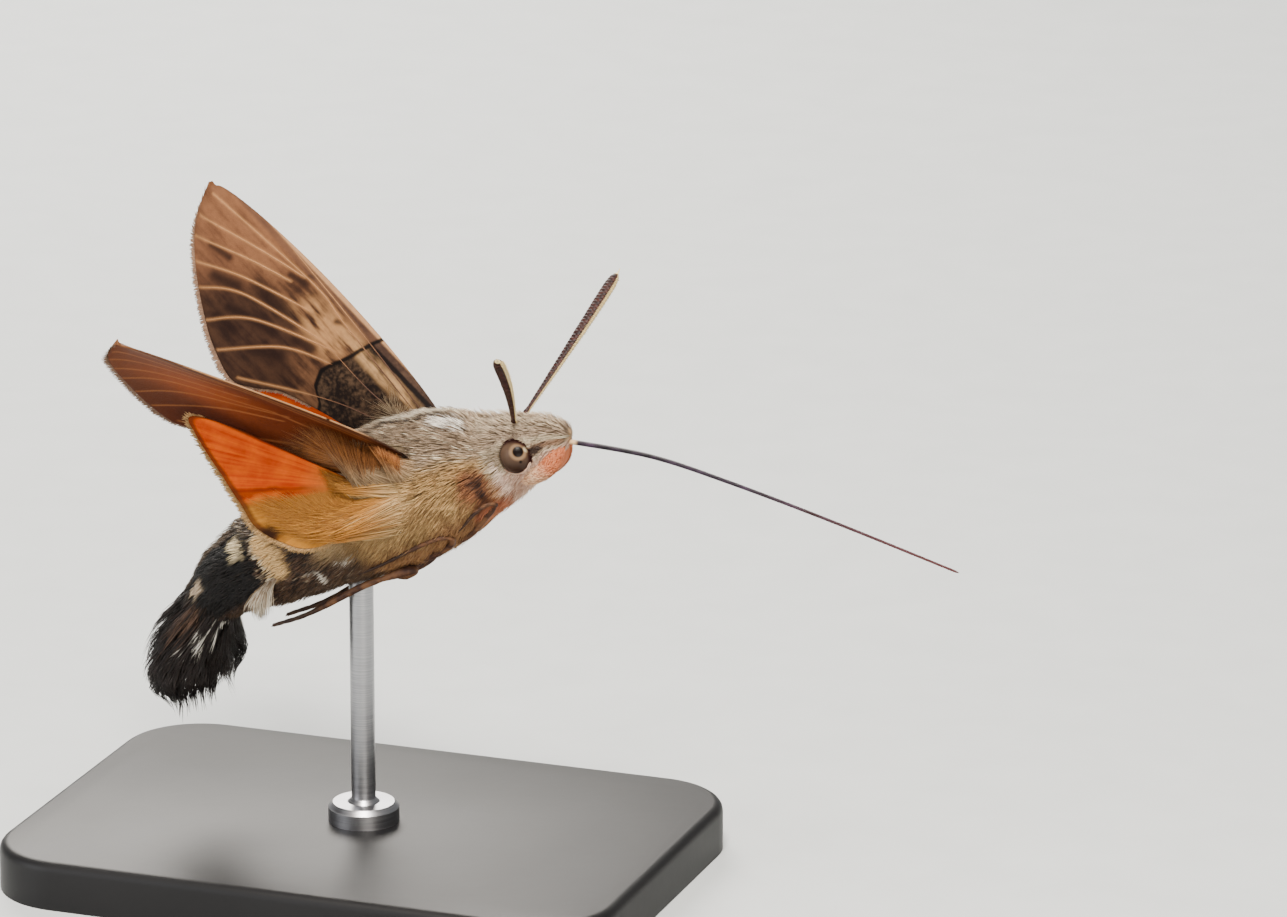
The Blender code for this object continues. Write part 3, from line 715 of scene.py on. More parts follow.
lash_stations, lash_degrees = scatter(3.0, 6.6, 40, 150, 0.06, 81)
lash_roots = body_points(lash_stations, lash_degrees, skin_share(lash_stations) + 0.03)
from_eye = lash_roots - np.array(eye_middle)
from_eye[:, 1] = np.abs(lash_roots[:, 1]) - eye_middle.y
near_eye = np.linalg.norm(from_eye, axis=1)
near_rim = (near_eye > (EYE_RADIUS - 0.04) * MM) & (near_eye < (EYE_RADIUS + 0.2) * MM)
from_eye[:, 1] *= np.sign(lash_roots[:, 1])
lash_outward = body_outward(lash_stations, lash_degrees)
lash_run = body_run(lash_stations)
backward = columns(-lash_run[:, 0], np.zeros(len(lash_run)), -lash_run[:, 1])
heading = unit(from_eye) + backward * 0.8
heading = unit(heading - lash_outward * (heading * lash_outward).sum(axis=1)[:, None])
lash_unwrap = columns(to_length(lash_stations) / to_length(6.6), lash_degrees / 360 + 0.5)
lash_marks = columns(lash_stations / STATION_SPAN, np.abs(lash_degrees) / ANGLE_SPAN)
lay("eye_fringe", "head_coat", lash_roots[near_rim], heading[near_rim], lash_outward[near_rim],
    length=0.36, width=0.06, lift=0.16, unwrap=lash_unwrap[near_rim], marks=lash_marks[near_rim],
    seed=82, material=coat.material)
# Pale cheek scales that lap the lower front edge of each eye
for label, side in SIDES:
    random = np.random.default_rng(85)
    turned = np.radians(random.uniform(-125, -12, LID_SCALES))
    lap = np.radians(random.uniform(66, 84, LID_SCALES))
    round_x, round_z = np.cos(turned), np.sin(turned)
    out_of_middle = columns(round_x * np.sin(lap), np.cos(lap) * side, round_z * np.sin(lap))
    inward = columns(-round_x * np.cos(lap), np.sin(lap) * side, -round_z * np.cos(lap))
    slant = columns(round_z, turned * 0, -round_x)
    lid_roots = np.array(eye_middle) * (1, side, 1) + out_of_middle * (EYE_RADIUS + 0.015) * MM
    lay("eye_lap_" + label, "head_coat", lid_roots, unit(inward * 0.45 + slant), out_of_middle,
        length=0.34, width=0.075, lift=0.05, unwrap=columns(0.5 + turned * 0.1, lap * 0.5),
        marks=np.tile((5.2 / STATION_SPAN, 62 / ANGLE_SPAN), (LID_SCALES, 1)), seed=86,
        material=coat.material)

# Palps
# Two upturned feelers of the mouth that lie against the face and meet below the proboscis. They
# are smooth with short flat scales, salmon in front and cream towards the throat.
PALP = ((7.25, 0.80, 1.45, 0.55), (7.88, 0.82, 1.75, 0.72), (8.52, 0.80, 2.10, 0.76),
        (9.04, 0.76, 2.60, 0.74), (9.34, 0.68, 3.15, 0.62), (9.52, 0.58, 3.55, 0.42),
        (9.62, 0.52, 3.80, 0.15))
PALP_SKIN = 0.9
PALP_RINGS, PALP_SIDES, PALP_TUFTS = 40, 28, 2600


def palp_points(at, degrees, share, side):
    """Points round a palp, from a place along it and an angle from the outer side upwards."""
    x, y, z, radius = rows_at(PALP, at).T
    step = rows_at(PALP, at + 0.2) - rows_at(PALP, at - 0.2)
    run = unit(columns(step[:, 0], step[:, 2]))
    angle = np.radians(degrees)
    across = np.cos(angle) * np.minimum(radius, y) * share
    out = np.sin(angle) * radius * share
    forward = x - run[:, 1] * out + THORAX.x
    return columns(forward, (y + across) * side, z + run[:, 0] * out + THORAX.z) * MM


palp_scales = Finish("palp scales", 0.6, 0.2)
palp_at, palp_round, palp_along = palp_scales.parts("coat")
palp_shade = palp_scales.number("shade")
salmon = palp_scales.mix((176, 102, 68), (214, 148, 110), palp_shade)
creamy = palp_scales.mix((198, 152, 120), (230, 202, 172), palp_shade)
palp_colour = palp_scales.mix(creamy, salmon, palp_at.rise(0.18, 0.5))
palp_colour = palp_scales.mix(palp_colour, (196, 108, 70),
                              palp_round.rise(0.66, 0.9) * palp_at.rise(0.3, 0.6) * 0.8)
# Painted shade: each palp scale is painted darker towards its root.
palp_scales.paint(Base_Color=palp_scales.dim(palp_colour, 0.72 + palp_along * 0.32))
for label, side in SIDES:
    palp_angles = np.arange(PALP_SIDES) * 360.0 / PALP_SIDES
    palp_places = np.linspace(0, len(PALP) - 1, PALP_RINGS)
    mesh = loft_mesh([palp_points(np.full(PALP_SIDES, place), palp_angles, PALP_SKIN, side)
                      for place in palp_places], "palp")
    marks = np.zeros((PALP_RINGS, PALP_SIDES, 3))
    marks[..., 0] = palp_places[:, None] / (len(PALP) - 1)
    marks[..., 1] = np.sin(np.radians(palp_angles)) / 2 + 0.5
    marks[..., 2] = 0.4
    carry(mesh, "coat", marks.reshape(-1, 3))
    carry(mesh, "shade", np.full(PALP_RINGS * PALP_SIDES, 0.45))
    keep(link_mesh("palp_skin_" + label, mesh, palp_scales.material), "palp", "palp_" + label)
    random = np.random.default_rng(91 + side)
    at = random.uniform(0.05, 5.9, PALP_TUFTS)
    degrees = random.uniform(-100, 180, PALP_TUFTS)
    roots = palp_points(at, degrees, PALP_SKIN - 0.03, side)
    outward = unit(palp_points(at, degrees, 1.1, side) - roots)
    heading = unit(palp_points(np.minimum(at + 0.1, len(PALP) - 1), degrees, 0.9, side)
                   - palp_points(at - 0.1, degrees, 0.9, side))
    unwrap = columns(at / 6.2, degrees / 360 + 0.4)
    marks = columns(at / (len(PALP) - 1), np.sin(np.radians(degrees)) / 2 + 0.5)
    lay("palp_scales_" + label, "palp", roots, heading, outward, length=0.26, width=0.1, lift=0.07,
        unwrap=unwrap, marks=marks, seed=93 + side, material=palp_scales.material, flat=0.2)

# Antennae
# Long clubs of some forty-five short segments, dark brown behind, with a comb of cream bristles
# along the front edge and a fine pale hook at the tip. Each is set in a small knob on the crown.
ANTENNA_ROOT = np.array((6.75, 0.75, 4.75))
ANTENNA_REACH = np.array((2.58, 9.4, 6.72))
ANTENNA_BOW = np.array((0.15, 0.0, 0.15))
ANTENNA_SEGMENTS = 46
ANTENNA_SIDES = 16
ANTENNA_WIDTH = ((0.0, 0.17), (0.03, 0.20), (0.06, 0.15), (0.3, 0.24), (0.6, 0.34), (0.8, 0.39),
                 (0.92, 0.38), (0.97, 0.30), (1.0, 0.12))
ANTENNA_HOOK, HOOK_RINGS = 0.42, 9
RINGS_TO_SEGMENT = 4
COMB_START, COMB_CORNER = 12, 2     # the first ring with bristles, and where round it they stand


def tube_rings(points, wide, high, sides, start):
    """Rings of corners round a line of points, with half their width and half their height."""
    across = np.array(start, float)
    angles = np.arange(sides) * math.tau / sides
    rings = []
    for index, point in enumerate(points):
        run = unit(points[min(index + 1, len(points) - 1)] - points[max(index - 1, 0)])
        across = unit(across - run * across.dot(run))
        upward = np.cross(run, across)
        rings.append(point + np.cos(angles)[:, None] * across * wide[index]
                     + np.sin(angles)[:, None] * upward * high[index])
    return np.array(rings)


feeler = Finish("antenna", 0.5, 0.15)
feeler_at, front, phase = feeler.parts("feeler")
speck = feeler.noise(5200.0, 2.0)
feeler_colour = feeler.mix((44, 25, 24), (82, 50, 44), speck.rise(0.35, 0.7))
feeler_colour = feeler.layers(feeler_colour, (
    ((150, 122, 96), (1 - front.rise(-0.95, -0.8)) * phase.rise(0.55, 0.75)),
    ((222, 200, 150), front.rise(0.72, 0.86) * (0.55 + phase * 0.45)),
    ((222, 204, 160), feeler_at.rise(0.985, 0.995))))
feeler.paint(Base_Color=feeler_colour, Normal=feeler.bump(phase, 0.00002))
bristle = Finish("antenna bristles", 0.6, 0.2)
bristle_along = bristle.parts("coat")[2]
bristle.paint(Base_Color=bristle.mix((176, 148, 100), (240, 228, 190), bristle_along))
antenna_shares = np.linspace(0, 1, ANTENNA_SEGMENTS * RINGS_TO_SEGMENT + 1)
saw = np.modf(antenna_shares * ANTENNA_SEGMENTS)[0]
for label, side in SIDES:
    line = (ANTENNA_ROOT + ANTENNA_REACH * antenna_shares[:, None]
            + ANTENNA_BOW * np.sin(math.pi * antenna_shares)[:, None])
    direction = unit(ANTENNA_REACH)
    forward = unit(np.array((1.0, 0, 0)) - direction * direction[0])
    hook = np.linspace(0.1, 1, HOOK_RINGS)[:, None] * ANTENNA_HOOK
    curl = direction * hook + forward * (0.12 * hook - 0.5 * hook ** 2)
    line = np.concatenate((line, line[-1] + curl))
    line = (line + MOTH_PLACE) * (1, side, 1) * MM
    half = np.interp(antenna_shares, *zip(*ANTENNA_WIDTH)) * (0.95 + 0.1 * saw)
    half = np.concatenate((half, np.linspace(0.055, 0.018, HOOK_RINGS))) * MM
    rings = tube_rings(line, half, half * 0.7, ANTENNA_SIDES, (1, 0, 0))
    mesh = loft_mesh(rings, "antenna")
    marks = np.zeros((len(line), ANTENNA_SIDES, 3))
    marks[..., 0] = np.concatenate((antenna_shares, np.ones(HOOK_RINGS)))[:, None]
    marks[..., 1] = np.cos(np.arange(ANTENNA_SIDES) * math.tau / ANTENNA_SIDES)
    marks[..., 2] = np.concatenate((saw, np.ones(HOOK_RINGS)))[:, None]
    carry(mesh, "feeler", marks.reshape(-1, 3))
    keep(link_mesh("antenna_club_" + label, mesh, feeler.material), "antenna", "antenna_" + label)
    comb = np.repeat(np.arange(COMB_START, len(antenna_shares) - RINGS_TO_SEGMENT, 2), 2)
    sideways = np.tile((-1.0, 1.0), len(comb) // 2)
    corner = np.where(sideways > 0, COMB_CORNER, ANTENNA_SIDES - COMB_CORNER)
    roots = rings[comb, corner]
    outward = unit(roots - line[comb])
    out_front = unit(rings[comb, 0] - line[comb])
    out_side = (rings[comb, ANTENNA_SIDES // 4] - line[comb]) * sideways[:, None] * 0.9 / MM
    direction = direction * (1, side, 1)
    heading = unit(out_front + out_side + direction * 0.3)
    unwrap = columns(comb / len(line) * 0.98 + 0.01, 0.5 + 0.2 * sideways)
    lay("antenna_comb_" + label, "antenna", roots, heading, unit(np.cross(heading, direction)),
        length=0.13, width=0.05, lift=0.0, unwrap=unwrap, marks=unwrap * 0, seed=101 + side,
        material=bristle.material)

# Proboscis
# The drinking tube, two grooved halves zipped together side by side, ringed all along and tapering
# to the tip. It uncoils from under the face and runs straight out to where the moth feeds.
PROBOSCIS = ((10.28, 3.72), (15.3, 3.32), (20.4, 2.18), (26.9, 0.42), (34.6, -1.85))
PROBOSCIS_RINGS, PROBOSCIS_SIDES = 260, 20
PROBOSCIS_RADII = (0.19, 0.085)
line = rows_at(PROBOSCIS, np.linspace(0, len(PROBOSCIS) - 1, PROBOSCIS_RINGS))
line = columns(line[:, 0] + THORAX.x, np.zeros(len(line)), line[:, 1] + THORAX.z) * MM
line[0] -= (0.5 * MM, 0, 0)
ripple = 1 + 0.03 * np.cos(np.arange(PROBOSCIS_RINGS) * math.pi)
half = np.linspace(*PROBOSCIS_RADII, PROBOSCIS_RINGS) * MM * ripple
half[-4:] *= (0.9, 0.75, 0.5, 0.25)         # the rounded tip
rings = tube_rings(line, half, half * 0.85, PROBOSCIS_SIDES, (0, 1, 0))
around = np.arange(PROBOSCIS_SIDES) * math.tau / PROBOSCIS_SIDES
groove = 1 - 0.2 * np.abs(np.sin(around)) ** 10
rings = line[:, None] + (rings - line[:, None]) * groove[None, :, None]
horn = Finish("proboscis", 0.3, 0.15)
horn_at = horn.node("ShaderNodeSeparateXYZ", None, {0: horn.here()}, 0) * 1000
grain = horn.noise(1100.0, 3.0)
horn_colour = horn.mix((30, 21, 30), (70, 54, 72), grain.rise(0.3, 0.75))
horn_colour = horn.layers(horn_colour, (
    # Painted reflection: the proboscis is painted redder towards its tip, as the red of the flower it
    # feeds from shines in it.
    ((104, 62, 58), horn_at.rise(24, 38) * 0.7),
    ((214, 186, 150), 1 - horn_at.rise(13.9, 14.25))))
horn.paint(Base_Color=horn_colour, Roughness=0.28 + grain * 0.2,
           Normal=horn.bump(horn_at.wave(0.13), 0.000012))
proboscis = link_mesh("proboscis", loft_mesh(rings, "proboscis"), horn.material)
keep(proboscis, "proboscis", "proboscis_root", "proboscis_middle", "proboscis_end")

# Wings
# Four thin membranes on a fan of stiff veins, shingled with fine scales. The forewing is brown
# with dark lines above and rust below; the hindwing is orange. Both are a little arched.
FOREWING_LENGTH = 21.7
WINGS = {                   # root, a vector to the tip, and one that lies in the wing to the rear
    "forewing_left": ((0.9, 3.1, 2.5), (-16.9, 3.3, 13.6), (-14.2, 0.4, 1.7)),
    "forewing_right": ((0.9, -3.1, 2.4), (-12.4, -14.5, 10.0), (-12.4, -4.6, 3.15)),
    "hindwing_left": ((-1.6, 3.7, 0.85), (-12.1, 1.4, 2.9), (-3.2, 2.4, -3.8)),
    "hindwing_right": ((-1.7, -3.8, 0.8), (-9.4, -6.7, 4.9), (-3.0, -2.7, -3.7)),
}
WING_TWIST = {"forewing_left": 0.0, "forewing_right": 25.0}
FOREWING_REAR = ((0.0, 2.0), (3.0, 3.8), (6.5, 4.9), (9.3, 5.9), (10.9, 7.1), (12.3, 7.75),
                 (14.6, 7.1), (16.6, 6.0), (18.6, 4.6), (20.3, 3.0), (21.3, 1.3), (21.7, 0.1))
HINDWING_EDGE = ((-5.5, 8.6), (-4.5, 10.9), (-2.5, 11.9), (1.5, 11.1), (7.0, 10.0), (15.0, 8.75),
                 (27.0, 7.65), (38.0, 7.15), (46.0, 6.6), (54.0, 6.0), (65.0, 5.3), (76.0, 4.25),
                 (84.0, 3.0))
HINDWING_START = 0.7
MEMBRANE = 0.1
FOREWING_GRID, HINDWING_GRID = (200, 84), (130, 90)
# Lines and dark strokes of the forewing's pattern, as distances along and across it in mm
INNER_LINE = ((6.9, -1.2), (7.6, 1.1), (8.3, 3.0), (8.0, 4.0), (7.1, 4.6), (6.4, 6.0))
DARK_STROKES = (            # half width, then the stroke's corners
    (0.14, (9.45, 0.0), (9.75, 0.25)), (0.12, (12.5, -0.85), (13.0, -0.35), (13.0, 0.1)),
    (0.16, (12.9, 0.1), (13.9, 0.35)), (0.34, (11.6, 2.1), (13.4, 2.2), (14.9, 2.2)),
    (0.26, (12.3, 3.6), (14.0, 4.1), (15.4, 4.6)), (0.30, (15.9, 3.3), (17.4, 3.9)),
    (0.30, (14.2, 5.4), (15.6, 5.6)), (0.32, (10.9, 4.4), (12.6, 5.4)), (0.2, (17.5, 2.4), (18.9, 2.7)),
    (0.26, (9.7, 2.5), (10.8, 2.9)))
FOREWING_VEINS = (
    ((0.3, 0.3), (8.0, -0.4), (16.0, -0.9)), ((0.3, 0.6), (9.0, 0.0), (12.5, -0.3), (21.0, 0.4)),
    ((13.1, -0.2), (16.6, 0.7), (20.7, 1.95)), ((13.6, 0.6), (16.6, 1.6), (20.1, 3.1)),
    ((11.5, 1.0), (16.0, 2.6), (18.95, 4.2)), ((9.3, 1.6), (15.2, 3.3), (17.7, 5.2)),
    ((8.2, 1.4), (13.6, 3.9), (15.95, 6.3)), ((8.0, 2.2), (11.1, 3.8), (14.15, 7.1)),
    ((0.3, 1.4), (6.0, 3.6), (12.0, 7.35)), ((0.5, 0.9), (5.0, 1.6), (9.3, 1.6)))
HINDWING_VEINS = (-3.5, 1.5, 8.0, 14.5, 22.0, 31.0, 42.0, 55.0, 68.0)
HINDWING_TUBES = 5          # the veins of the lobe, after these, are too soft to stand out
VEIN_RINGS, HINDWING_VEIN_RINGS, VEIN_SIDES = 30, 24, 6
VEIN_RADIUS, HINDWING_VEIN_RADIUS, VEIN_LIFT = 0.05, 0.045, 0.035
PAINTED_VEIN, HINDWING_PAINTED_VEIN = 0.085, 0.12       # half widths of the coloured lines, mm
FRINGE_SCALES, HINDWING_FRINGE_SCALES = 500, 480        # in each of two rows
SHINGLES = 9000.0           # scales to the metre
FRINGE_SINK = 0.12          # how far a fringe scale's root lies inside the wing's edge, mm


def wing_axes(name):
    root, reach, rearward = (np.array(part, float) for part in WINGS[name])
    along = unit(reach)
    across = unit(rearward - along * rearward.dot(along))
    up = np.cross(along, across)
    return root, along, across, -up if name.endswith("right") else up


def curve_at(rows, position):
    """The second column at a position in the first, on a smooth curve through the rows."""
    line = rows_at(rows, np.linspace(0, len(rows) - 1, 400))
    return np.interp(position, line[:, 0], line[:, 1])


def forewing_edges(along_share):
    front = -1.15 * np.sin(math.pi * np.minimum(along_share * 1.02, 1.0)) ** 0.5
    return front, curve_at(FOREWING_REAR, FOREWING_LENGTH * along_share)


def forewing_points(name, along_share, across_share, lift=0.0):
    """Points of the forewing in metres, and their places along and across it in mm."""
    root, along, across, up = wing_axes(name)
    front, rear = forewing_edges(along_share)
    v = front + (rear - front) * across_share
    u = FOREWING_LENGTH * along_share
    camber = 0.7 * np.sin(math.pi * across_share) * (1 - along_share * 0.6) + lift
    twist = math.radians(WING_TWIST[name]) * (1 - along_share) ** 2
    leant = across * np.cos(twist)[:, None] - up * np.sin(twist)[:, None]
    points = root + along * u[:, None] + leant * v[:, None] + up * camber[:, None]
    return (points + MOTH_PLACE) * MM, u, v


def hindwing_points(name, angle_share, reach_share, lift=0.0):
    """Points of the hindwing in metres, their distance from its root in mm and their angle."""
    root, along, across, up = wing_axes(name)
    degrees = HINDWING_EDGE[0][0] + (HINDWING_EDGE[-1][0] - HINDWING_EDGE[0][0]) * angle_share
    far = HINDWING_START + (curve_at(HINDWING_EDGE, degrees) - HINDWING_START) * reach_share
    angle = np.radians(degrees)[:, None]
    camber = 0.5 * np.sin(math.pi * angle_share) * reach_share + lift
    spoke = along * np.cos(angle) + across * np.sin(angle)
    points = root + spoke * far[:, None] + up * camber[:, None]
    return (points + MOTH_PLACE) * MM, far, degrees


def away_from_line(u, v, corners):
    """The distance of each point of a wing from a line through corners, in mm."""
    line = rows_at(corners, np.linspace(0, len(corners) - 1, 8 * len(corners)))
    best = np.full(len(u), 99.0)
    for (u0, v0), (u1, v1) in zip(line, line[1:]):
        du, dv = u1 - u0, v1 - v0
        t = np.clip(((u - u0) * du + (v - v0) * dv) / (du * du + dv * dv), 0, 1)
        best = np.minimum(best, np.hypot(u - u0 - t * du, v - v0 - t * dv))
    return best


def membrane(name, points, marks, bands, grid, upper, under):
    """A thin sheet on a grid of points, with its upper face to the wing's own up."""
    bm = bmesh.new()
    bmesh.ops.create_grid(bm, x_segments=grid[0], y_segments=grid[1], size=0.5)
    for vert, point in zip(bm.verts, points):
        vert.co = point
    bm.normal_update()
    up = Vector(wing_axes(name)[3])
    if sum(face.normal.dot(up) for face in bm.faces) < 0:
        bmesh.ops.reverse_faces(bm, faces=bm.faces[:])
    mesh = mesh_from(bm, name)
    carry(mesh, "wing", marks)
    carry(mesh, "bands", bands)
    sheet = link_mesh(name + "_membrane", mesh, upper)
    mesh.materials.append(under)
    wall = sheet.modifiers.new("wall", "SOLIDIFY")
    wall.thickness = MEMBRANE * MM
    wall.offset = 0.0
    wall.material_offset = 1
    return sheet


def grid_shares(grid):
    """The two shares of each point, in the order in which a grid is made."""
    steps = [np.linspace(0, 1, segments + 1) for segments in grid]
    along, across = np.meshgrid(*steps)
    return along.ravel(), across.ravel()


def forewing_colours(finish, under):
    u, v, vein = finish.parts("wing")
    inner, ink = finish.parts("bands")[:2]
    mix = finish.mix
    mottle = finish.noise(650.0, 4.0)
    speck = finish.noise(3800.0, 2.0)
    streak = finish.noise(1.0, 3.0, finish.vector(u * 0.35, v * 1.9, 0.0))
    wander = (mottle - 0.5) * 1.1
    if under:
        colour = mix((116, 66, 34), (98, 52, 32), (u + wander * 2).rise(3, 9))
        colour = finish.layers(colour, (
            ((112, 72, 50), (u + wander * 3).rise(10, 17) * 0.9),
            ((166, 94, 46), v.between(0.9, 4.2, 1.2) * u.between(10, 17, 3.0) * 0.4),
            ((96, 62, 44), (1 - v.rise(-0.6, 0.3)) * 0.85),
            ((84, 50, 34), v.rise(3.4, 6.4) * 0.6),
            ((178, 126, 84), vein * 0.4)))
    else:
        ground = mix((58, 40, 31), (106, 79, 59), (mottle * 0.5 + streak * 0.5).rise(0.38, 0.6))
        basal = mix((38, 29, 25), (86, 70, 56), (mottle * 0.5 + speck * 0.5).rise(0.42, 0.7))
        colour = mix(basal, ground, (inner + wander * 0.3).rise(-0.12, 0.12))
        colour = finish.layers(colour, (
            ((180, 148, 110),
             v.between(0.0, 0.8, 0.35) * u.between(2.4, 9.2, 1.6) * streak.rise(0.3, 0.62) * 0.85),
            ((158, 124, 90),
             inner.between(0.3, 4.6, 0.8) * v.between(0.0, 2.2, 0.7) * streak.rise(0.34, 0.62)),
            ((50, 36, 31), inner.rise(1.4, 3.0) * v.rise(1.4, 3.0) * (0.35 + mottle * 0.6)),
            ((142, 104, 78), (u - v * 0.9).rise(11.5, 16.0) * (0.05 + streak * 0.9)),
            ((46, 31, 26), (ink + wander * 0.5 + streak * 0.9).rise(0.45, 1.7) * 0.9),
            ((176, 136, 98), vein * u.rise(6.8, 9.5) * 0.55),
            ((172, 138, 106), (1 - v.rise(-0.92, -0.76)) * 0.9),
            ((92, 72, 62), (1 - v.rise(-0.55, -0.3)) * v.rise(-0.95, -0.8) * 0.5)))
        costa = (v + wander * 0.1).between(-0.44, -0.18, 0.06)
        colour = finish.layers(colour, (
            ((34, 24, 22), costa * u.between(0.6, 7.2, 0.5)),
            ((18, 12, 12), (inner + wander * 0.35).between(-0.14, 0.14, 0.09) * 0.95)))
    return finish.dim(colour, 0.82 + speck * 0.36)


def hindwing_colours(finish, under):
    far, degrees, vein = finish.parts("wing")
    margin = finish.parts("bands")[0]
    mix = finish.mix
    mottle = finish.noise(650.0, 3.0)
    speck = finish.noise(3800.0, 2.0)
    ray = finish.noise(1.0, 3.0, finish.vector(degrees * 0.55, far * 0.16, 0.0))
    angle = degrees + (mottle - 0.5) * 7
    vivid = mix((172, 66, 0), (206, 104, 0), (ray * 0.6 + mottle * 0.4).rise(0.36, 0.64))
    lobe = mix((142, 96, 38), (178, 132, 66), (ray * 0.4 + mottle * 0.6).rise(0.34, 0.66))
    colour = mix(vivid, lobe, angle.rise(22, 30) * (1.0 if under else 0.4))     # duller below
    colour = finish.layers(colour, (
        ((116, 42, 12), angle.between(19.0, 23.5, 2.2) * far.between(2.0, 8.4, 0.8) * 0.9),
        ((178, 134, 76), (1 - far.rise(1.2, 4.6)) * 0.8),
        ((214, 112, 22), vein * (1 - angle.rise(18, 30)) * 0.3),
        ((92, 54, 30), margin.between(-0.1, 0.34, 0.16) * (1 - angle.rise(44, 58)) * 0.8),
        ((46, 28, 22), margin.between(-0.1, 0.8, 0.2) * angle.between(41, 50, 3.0) * 0.9),
        ((82, 46, 28), (1 - degrees.rise(-5.2, -4.0)) * 0.85)))
    return finish.dim(colour, 0.86 + speck * 0.28)


wing_finishes = {}
for wing_kind, paint_wing in (("forewing", forewing_colours), ("hindwing", hindwing_colours)):
    for face_name, under in (("upper", False), ("under", True)):
        finish = Finish(f"{wing_kind} {face_name} scales", 0.6, 0.05)
        shingle = finish.node("ShaderNodeTexVoronoi", {"feature": "F1"},
                              {"Vector": finish.here(), "Scale": SHINGLES})
        finish.paint(Base_Color=paint_wing(finish, under), Normal=finish.bump(shingle, 0.000012, 0.6))
        wing_finishes[wing_kind, face_name] = finish.material
vein_finish = Finish("wing veins", 0.5, 0.15)
vein_grain = vein_finish.noise(1800.0, 2.0)
vein_at = vein_finish.parts("wing")[0]
vein_finish.paint(Base_Color=vein_finish.mix((90, 64, 48), (174, 134, 96),
                                             vein_at.rise(5, 11) * (0.6 + vein_grain * 0.4)))
vein_gold = Finish("hindwing veins", 0.5, 0.15)
gold_grain = vein_gold.noise(1800.0, 2.0)
vein_gold.paint(Base_Color=vein_gold.mix((176, 84, 20), (214, 124, 40), gold_grain))
fringe = Finish("wing fringe", 0.7, 0.15)
fringe_kind, _, fringe_along = fringe.parts("coat")
fringe_shade = fringe.number("shade")
fringe_brown = fringe.mix((84, 64, 54), (168, 140, 118), fringe_along * 0.5 + fringe_shade * 0.5)
fringe_pale = fringe.mix((150, 110, 68), (206, 176, 132), fringe_along * 0.6 + fringe_shade * 0.4)
fringe.paint(Base_Color=fringe.mix(fringe_brown, fringe_pale, fringe_kind.rise(0.4, 0.6)))


def vein_tubes(name, lines, thick, kind, material):
    """Fine round veins along the lines, which stand a little out of the wing, as one mesh."""
    bm_all = bmesh.new()
    marks = []
    for points, u in lines:
        radii = thick * np.interp(np.linspace(0, 1, len(points)), (0, 0.2, 1), (0.3, 1, 0.35)) * MM
        rings = tube_rings(points, radii, radii, VEIN_SIDES, wing_axes(kind)[3])
        part = loft_mesh(rings, "vein")
        bm_all.from_mesh(part)
        bpy.data.meshes.remove(part)
        marks.append(np.repeat(columns(u, u * 0, u * 0), VEIN_SIDES, axis=0))
    mesh = mesh_from(bm_all, name)
    carry(mesh, "wing", np.concatenate(marks))
    return link_mesh(name, mesh, material)


def edge_fringe(wing, share, edge, inside, length, width, kind, seed):
    """Short scales that stand out from a wing's rear edge, in the wing's own plane."""
    outward = unit(edge - inside)
    up = np.tile(wing_axes(wing)[3], (len(share), 1))
    unwrap = columns(share, np.full(len(share), 0.5))
    lay(wing + "_fringe", wing.split("_")[0], edge - outward * FRINGE_SINK * MM, outward, up, length,
        width, lift=0.0, unwrap=unwrap, marks=unwrap * 0 + kind, seed=seed, material=fringe.material,
        flat=0.15, stray=9.0)


